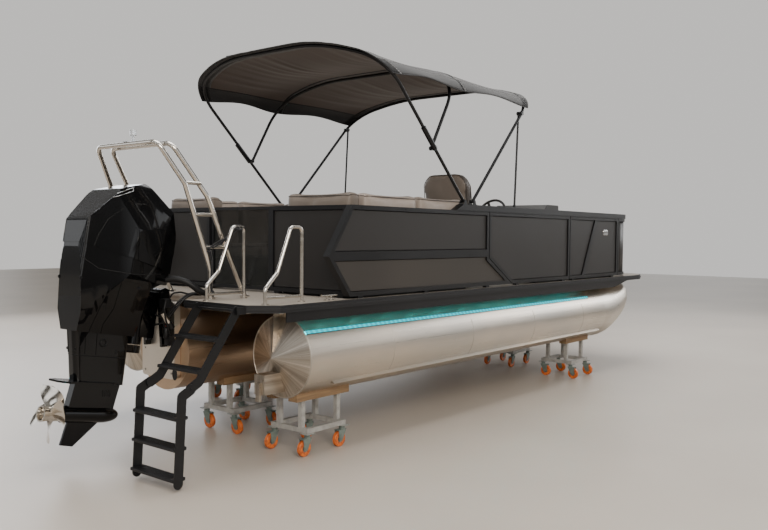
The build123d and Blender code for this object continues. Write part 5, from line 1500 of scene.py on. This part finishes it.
def makeMotorTrim():
    s = motorSet
    housings = {name: surfaceOf(nodes[name].data) for name in ("motor_cowl", "motor_midsection")}
    cowl, apron = housings["motor_cowl"], housings["motor_midsection"]
    pieces, silver, grooves = [], [], []
    for side in (-1, 1):
        for name, node, outline in skinTable:
            pieces.append(skinPatch(name, node, housings[node], outline, side, s["skin"], "cowl"))
        silver.append(skinLine(cowl, trimLine, side, 90, s["skin"]))
        for surface in (cowl, apron):
            grooves.append(skinLine(surface, sealLine, side, 90))
        grooves.append(skinLine(apron, apronSeam, side))
    joined("cowlFacets", pieces, "steered_motor")
    beads("cowlTrimLines", [line for line in silver if len(line) > 2], 0.0022, "chrome", "steered_motor", sides=6)
    beads("cowlSeals", [line for line in grooves if len(line) > 2], 0.0035, "blackRubber", "steered_motor", sides=6)
    rows = []
    for side, label in flanks:
        for x, z in s["bolts"]:
            point = skinPoint(apron, x, z, side, 0.003)
            if point is not None:
                rows.append((point, (0, side, 0)))
        center = skinPoint(apron, *s["port"], side, 0.006)
        if center is not None:  # the flushing port's rubber collar
            collar = [center + Vector((c, 0, sn)) * s["portRadius"] for c, sn in turns(28)]
            beads("flushPort_" + label, [collar], 0.007, "blackRubber", "steered_motor", True)
    bolts("apronBolts", rows, "steered_motor", "blackSteel", 0.016, 0.006)
    inlets = []  # water inlets, four slots on each side of the gearcase's strut
    for side in (-1, 1):
        for x in s["inlets"]:
            outline = [(x, -0.83), (x - 0.012, -0.83), (x - 0.022, -0.78), (x - 0.01, -0.78)]
            inlets.append(plate(
                "inlet", outline, lambda u, v, w: motorAt(u, side * (s["strut"] + w), v), 0.003, "blackRubber", 0.001,
            ))
    joined("waterInlets", inlets, "steered_motor")
    joined("trimRam", [  # between the clamp's cheeks
        sweepTube("ramBody", [at(-0.985, 0, -0.34), at(-0.965, 0, -0.20), at(-0.955, 0, -0.13)], 0.026, "motor"),
        sweepTube("ramRod", [at(-0.955, 0, -0.13), at(-0.948, 0, -0.06), at(-0.943, 0, -0.02)], 0.012, "chrome"),
    ])
    bottle = []
    foot = at(*s["bottle"])
    for name, key, rings in bottleRows:
        vertices = [foot + Vector((r * c, r * sn, z)) for r, z in rings for c, sn in turns(24)]
        bottle.append(meshObject(name, vertices, gridFaces(len(rings), 24, 0, True), key, True))
    joined("primerBottle", bottle)
    makeClampGear()


def makeClampGear():
    # the trim pump, junction blocks and hoses beside the transom bracket
    barrel = [at(-1.00, -0.19, -0.11), at(-0.965, -0.19, -0.16), at(-0.93, -0.19, -0.21)]
    end = [at(-0.945, -0.19, -0.19), at(-0.93, -0.19, -0.21), at(-0.912, -0.19, -0.236)]
    gear = [
        sweepTube("pumpBarrel", barrel, 0.024, "stainless", 20), sweepTube("pumpEnd", end, 0.030, "blackSteel", 20),
    ]
    for name, x0, x1, y0, y1, z0, z1, key in (
        ("fuseBlock", -0.985, -0.925, -0.205, -0.135, -0.075, -0.005, "blackRubber"),
        ("relayBlock", -0.950, -0.902, -0.215, -0.150, -0.370, -0.290, "blackSteel"),
        ("filterHead", -0.955, -0.905, 0.135, 0.200, -0.110, -0.030, "blackSteel"),
    ):
        outline = [(x0, y0), (x1, y0), (x1, y1), (x0, y1)]
        gear.append(plate(name, outline, lambda u, v, w: at(u, v, z0 + w), z1 - z0, key, 0.006))
    joined("clampGear", gear)
    runs = (
        ((-0.98, -0.21, -0.02), (-1.00, -0.215, -0.08), (-0.985, -0.215, -0.16), (-0.935, -0.20, -0.29)),
        ((-0.96, -0.15, -0.07), (-0.975, -0.165, -0.17), (-0.955, -0.17, -0.26), (-0.925, -0.165, -0.37)),
        (
            (-0.94, -0.20, 0), (-0.925, -0.225, 0.04), (-0.86, -0.235, 0.045), (-0.76, -0.235, 0.02),
            (-0.66, -0.235, 0.012),
        ),
        ((-0.93, 0.17, -0.03), (-0.92, 0.19, 0.03), (-0.85, 0.21, 0.045), (-0.75, 0.21, 0.02), (-0.66, 0.21, 0.012)),
    )
    beads("clampHoses", [rounded(run, 0.025, 50) for run in runs], 0.0075, "blackRubber", "hull")


makeMotorTrim()


def makeRigging():
    # loom, fuel hose and cables: out of the deck's notch, over the clamp and up under the cowl
    table = (  # name, diameter, route
        ("rigTube", 0.050, (
            (-0.62, -0.33, 0.029), (-0.70, -0.335, 0.032), (-0.76, -0.33, 0.055), (-0.82, -0.30, 0.115),
            (-0.89, -0.22, 0.155), (-0.97, -0.12, 0.135), (-1.01, -0.05, 0.085),
        )),
        ("fuelHose", 0.016, (
            (-0.60, -0.24, 0.022), (-0.70, -0.25, 0.03), (-0.80, -0.26, 0.035), (-0.88, -0.24, -0.02),
            (-0.93, -0.19, -0.12), (-0.97, -0.13, -0.16), (-0.99, -0.09, -0.13),
        )),
        ("powerCable", 0.018, (
            (-0.60, -0.28, 0.022), (-0.72, -0.29, 0.03), (-0.84, -0.29, 0.02), (-0.92, -0.25, -0.08),
            (-0.97, -0.17, -0.20), (-1.00, -0.10, -0.21),
        )),
        ("steeringHose", 0.014, (
            (-0.60, 0.20, 0.02), (-0.72, 0.21, 0.035), (-0.84, 0.20, 0.06), (-0.93, 0.15, 0.06), (-0.98, 0.09, 0.03),
        )),
    )
    for name, diameter, route in table:
        points = [at(*p) for p in route]
        piece = sweepTube(name, points, diameter / 2, "blackRubber", 16)
        piece.name = name
        line = placed("line", curveThrough("line", points))
        mesh = bpy.data.meshes.new_from_object(line)
        bpy.data.objects.remove(line)
        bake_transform(piece)


makeRigging()
print("motor trim and rigging done")

# Ladder: grip ribs on each tread and pivot bolts
ladderSet = {
    "y": -0.882,
    "half": 0.220,
    "hinge": (-1.035, -0.034),
    "fold": (-1.440, -0.530),
    "end": 0.049,
    "upperTreads": (0.42, 0.86),
    "lowerTreads": (0.25, 0.6, 0.95),
}


def makeLadderTrim():
    s = ladderSet
    hinge, fold, half = Vector(s["hinge"]), Vector(s["fold"]), s["half"]
    knee = fold + Vector((0.075, 0.040))
    jog = fold + Vector((-0.075, -0.0375))
    end = Vector((fold.x - 0.105, s["end"] - place["deckTop"]))
    upper = [hinge + (knee - hinge) * share + Vector((-0.054, 0.0125)) for share in s["upperTreads"]]
    lower = [jog + (end - jog) * share + Vector((-0.040, 0.0125)) for share in s["lowerTreads"]]
    for name, treads, body in (
        ("upperTreads", upper, "ladder_upper_body"), ("lowerTreads", lower, "ladder_lower_body"),
    ):
        seeds = meshObject(name, [at(p.x, s["y"], p.y) for p in treads], [], None, clean=False)
        ribs = applyTree(seeds, trees["ribs"], {
            "Count": 8, "Step": (0.0115, 0, 0), "Size": (0.0055, 2 * half - 0.05, 0.0022),
            "Finish": materials["blackRubber"],
        })
        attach(ribs, body)
    for body, point, reach in (("ladder_upper_body", hinge, half), ("ladder_lower_body", fold, half + 0.013)):
        rows = [(at(point.x, s["y"] + side * reach, point.y), (0, side, 0)) for side in (-1, 1)]
        bolts("pivotBolts_" + body, rows, body, "blackSteel", 0.016, 0.006)


# Stern: the round opening and bolts of the motor's board, and a tie-down strap on the tow bar
sternSet = {"boardX": -0.900, "eye": (-0.215, -0.600), "eyeSize": (0.030, 0.048), "turnSize": (0.026, 0.010)}


def makeSternTrim():
    s = sternSet
    (y, z), (across, tall), (wide, rise) = s["eye"], s["eyeSize"], s["turnSize"]
    ring = [(y + across * c, z + tall * sn) for c, sn in turns(28)]
    joined("boardEyeRim", [
        plate("boardEye", ring, lambda u, v, w: at(s["boardX"] + 0.0004 - w, u, v), 0.004, "blackRubber", 0.001),
    ])
    rows = [(at(s["boardX"], y, z), (-1, 0, 0)) for y in (-0.17, 0.17) for z in (-0.10, -0.20, -0.42, -0.60)]
    bolts("boardBolts", rows, "hull", "bolt", 0.013, 0.005)
    # the strap is wound round the starboard hoop's aft leg and over the inner handrail, its tail hanging
    wound = [
        [at(x + wide * c, y + wide * sn, z + rise * sn) for c, sn in turns(20)]
        for x, y, z in ((-0.80, -0.48, 0.405), (-0.795, -0.48, 0.375), (-0.605, -0.60, 0.549), (-0.580, -0.60, 0.550))
    ]
    beads("strapTurns", wound, 0.0065, "webbing", "hull", True, 6)
    ribbons = (
        (
            (-0.785, -0.505, 0.40), (-0.74, -0.525, 0.435), (-0.68, -0.56, 0.47), (-0.625, -0.59, 0.52),
            (-0.60, -0.622, 0.56),
        ),
        ((-0.595, -0.57, 0.56), (-0.62, -0.545, 0.50), (-0.69, -0.515, 0.43), (-0.765, -0.505, 0.395)),
        (
            (-0.79, -0.508, 0.372), (-0.775, -0.512, 0.30), (-0.782, -0.514, 0.20), (-0.79, -0.516, 0.10),
            (-0.77, -0.52, 0.02),
        ),
    )
    for k, route in enumerate(ribbons):
        beads(f"strapRun_{k}", [rounded(route, 0.03, 60)], 0.0075, "webbing", "hull", False, 6)


makeLadderTrim()
makeSternTrim()
print("ladder and stern trim done")

# Helm: a screen and two switch panels let into the dash, which slopes from foot up to brow
helmSet = {"foot": (3.05, 0, 0.62), "brow": (3.437, 0, 0.86), "switchY": 0.22, "rockers": 4, "rockerPitch": 0.026}


def makeHelmTrim():
    s = helmSet
    low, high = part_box("console")
    middle = (low[1] + high[1]) / 2
    foot, brow = Vector(s["foot"]), Vector(s["brow"])
    along = (brow - foot).normalized()
    normal = Vector((-along.z, 0, along.x))
    pieces = []

    def dash(u, v, w):
        p = foot + along * u + normal * w
        return at(p.x, middle + v, p.z)

    def panel(name, u0, u1, v0, v1, depth, key, radius):
        pieces.append(plate(name, roundedBox(u0, u1, v0, v1, radius, 4), dash, depth, key, 0.0025))

    panel("screenBezel", 0.21, 0.40, -0.17, 0.17, 0.010, "blackRubber", 0.012)
    panel("screenGlass", 0.222, 0.388, -0.158, 0.158, 0.0105, "lampGlass", 0.006)
    for v in (-s["switchY"], s["switchY"]):
        panel("switchPanel", 0.24, 0.36, v - 0.035, v + 0.035, 0.006, "blackRubber", 0.008)
        for k in range(s["rockers"]):
            u = 0.25 + s["rockerPitch"] * k
            panel("rocker", u, u + 0.02, v - 0.022, v + 0.022, 0.011, "console" if k else "chrome", 0.004)
    joined("helmPanels", pieces)


makeHelmTrim()
print("helm done")

# Dollies: a hub on both faces of each caster wheel
hubSet = {"across": 0.034, "height": 0.0035, "sides": 16}


def makeCasterTrim():
    for name in nodes:
        if not name.startswith("caster_wheels"):
            continue
        rows = []
        for vertices, _ in looseSolids(nodes[name].data):
            low, high = extents(vertices)
            size = high - low
            axis = 0 if size.x < size.y else 1
            for side in (-1, 1):
                where = (low + high) / 2
                where[axis] += side * size[axis] / 2
                aim = [0, 0, 0]
                aim[axis] = side
                rows.append((where, aim))
        body = name.replace("caster_wheels_", "caster_")
        bolts("hubs_" + name[-2:], rows, body, "zinc", hubSet["across"], hubSet["height"], hubSet["sides"])


makeCasterTrim()
print("casters done")
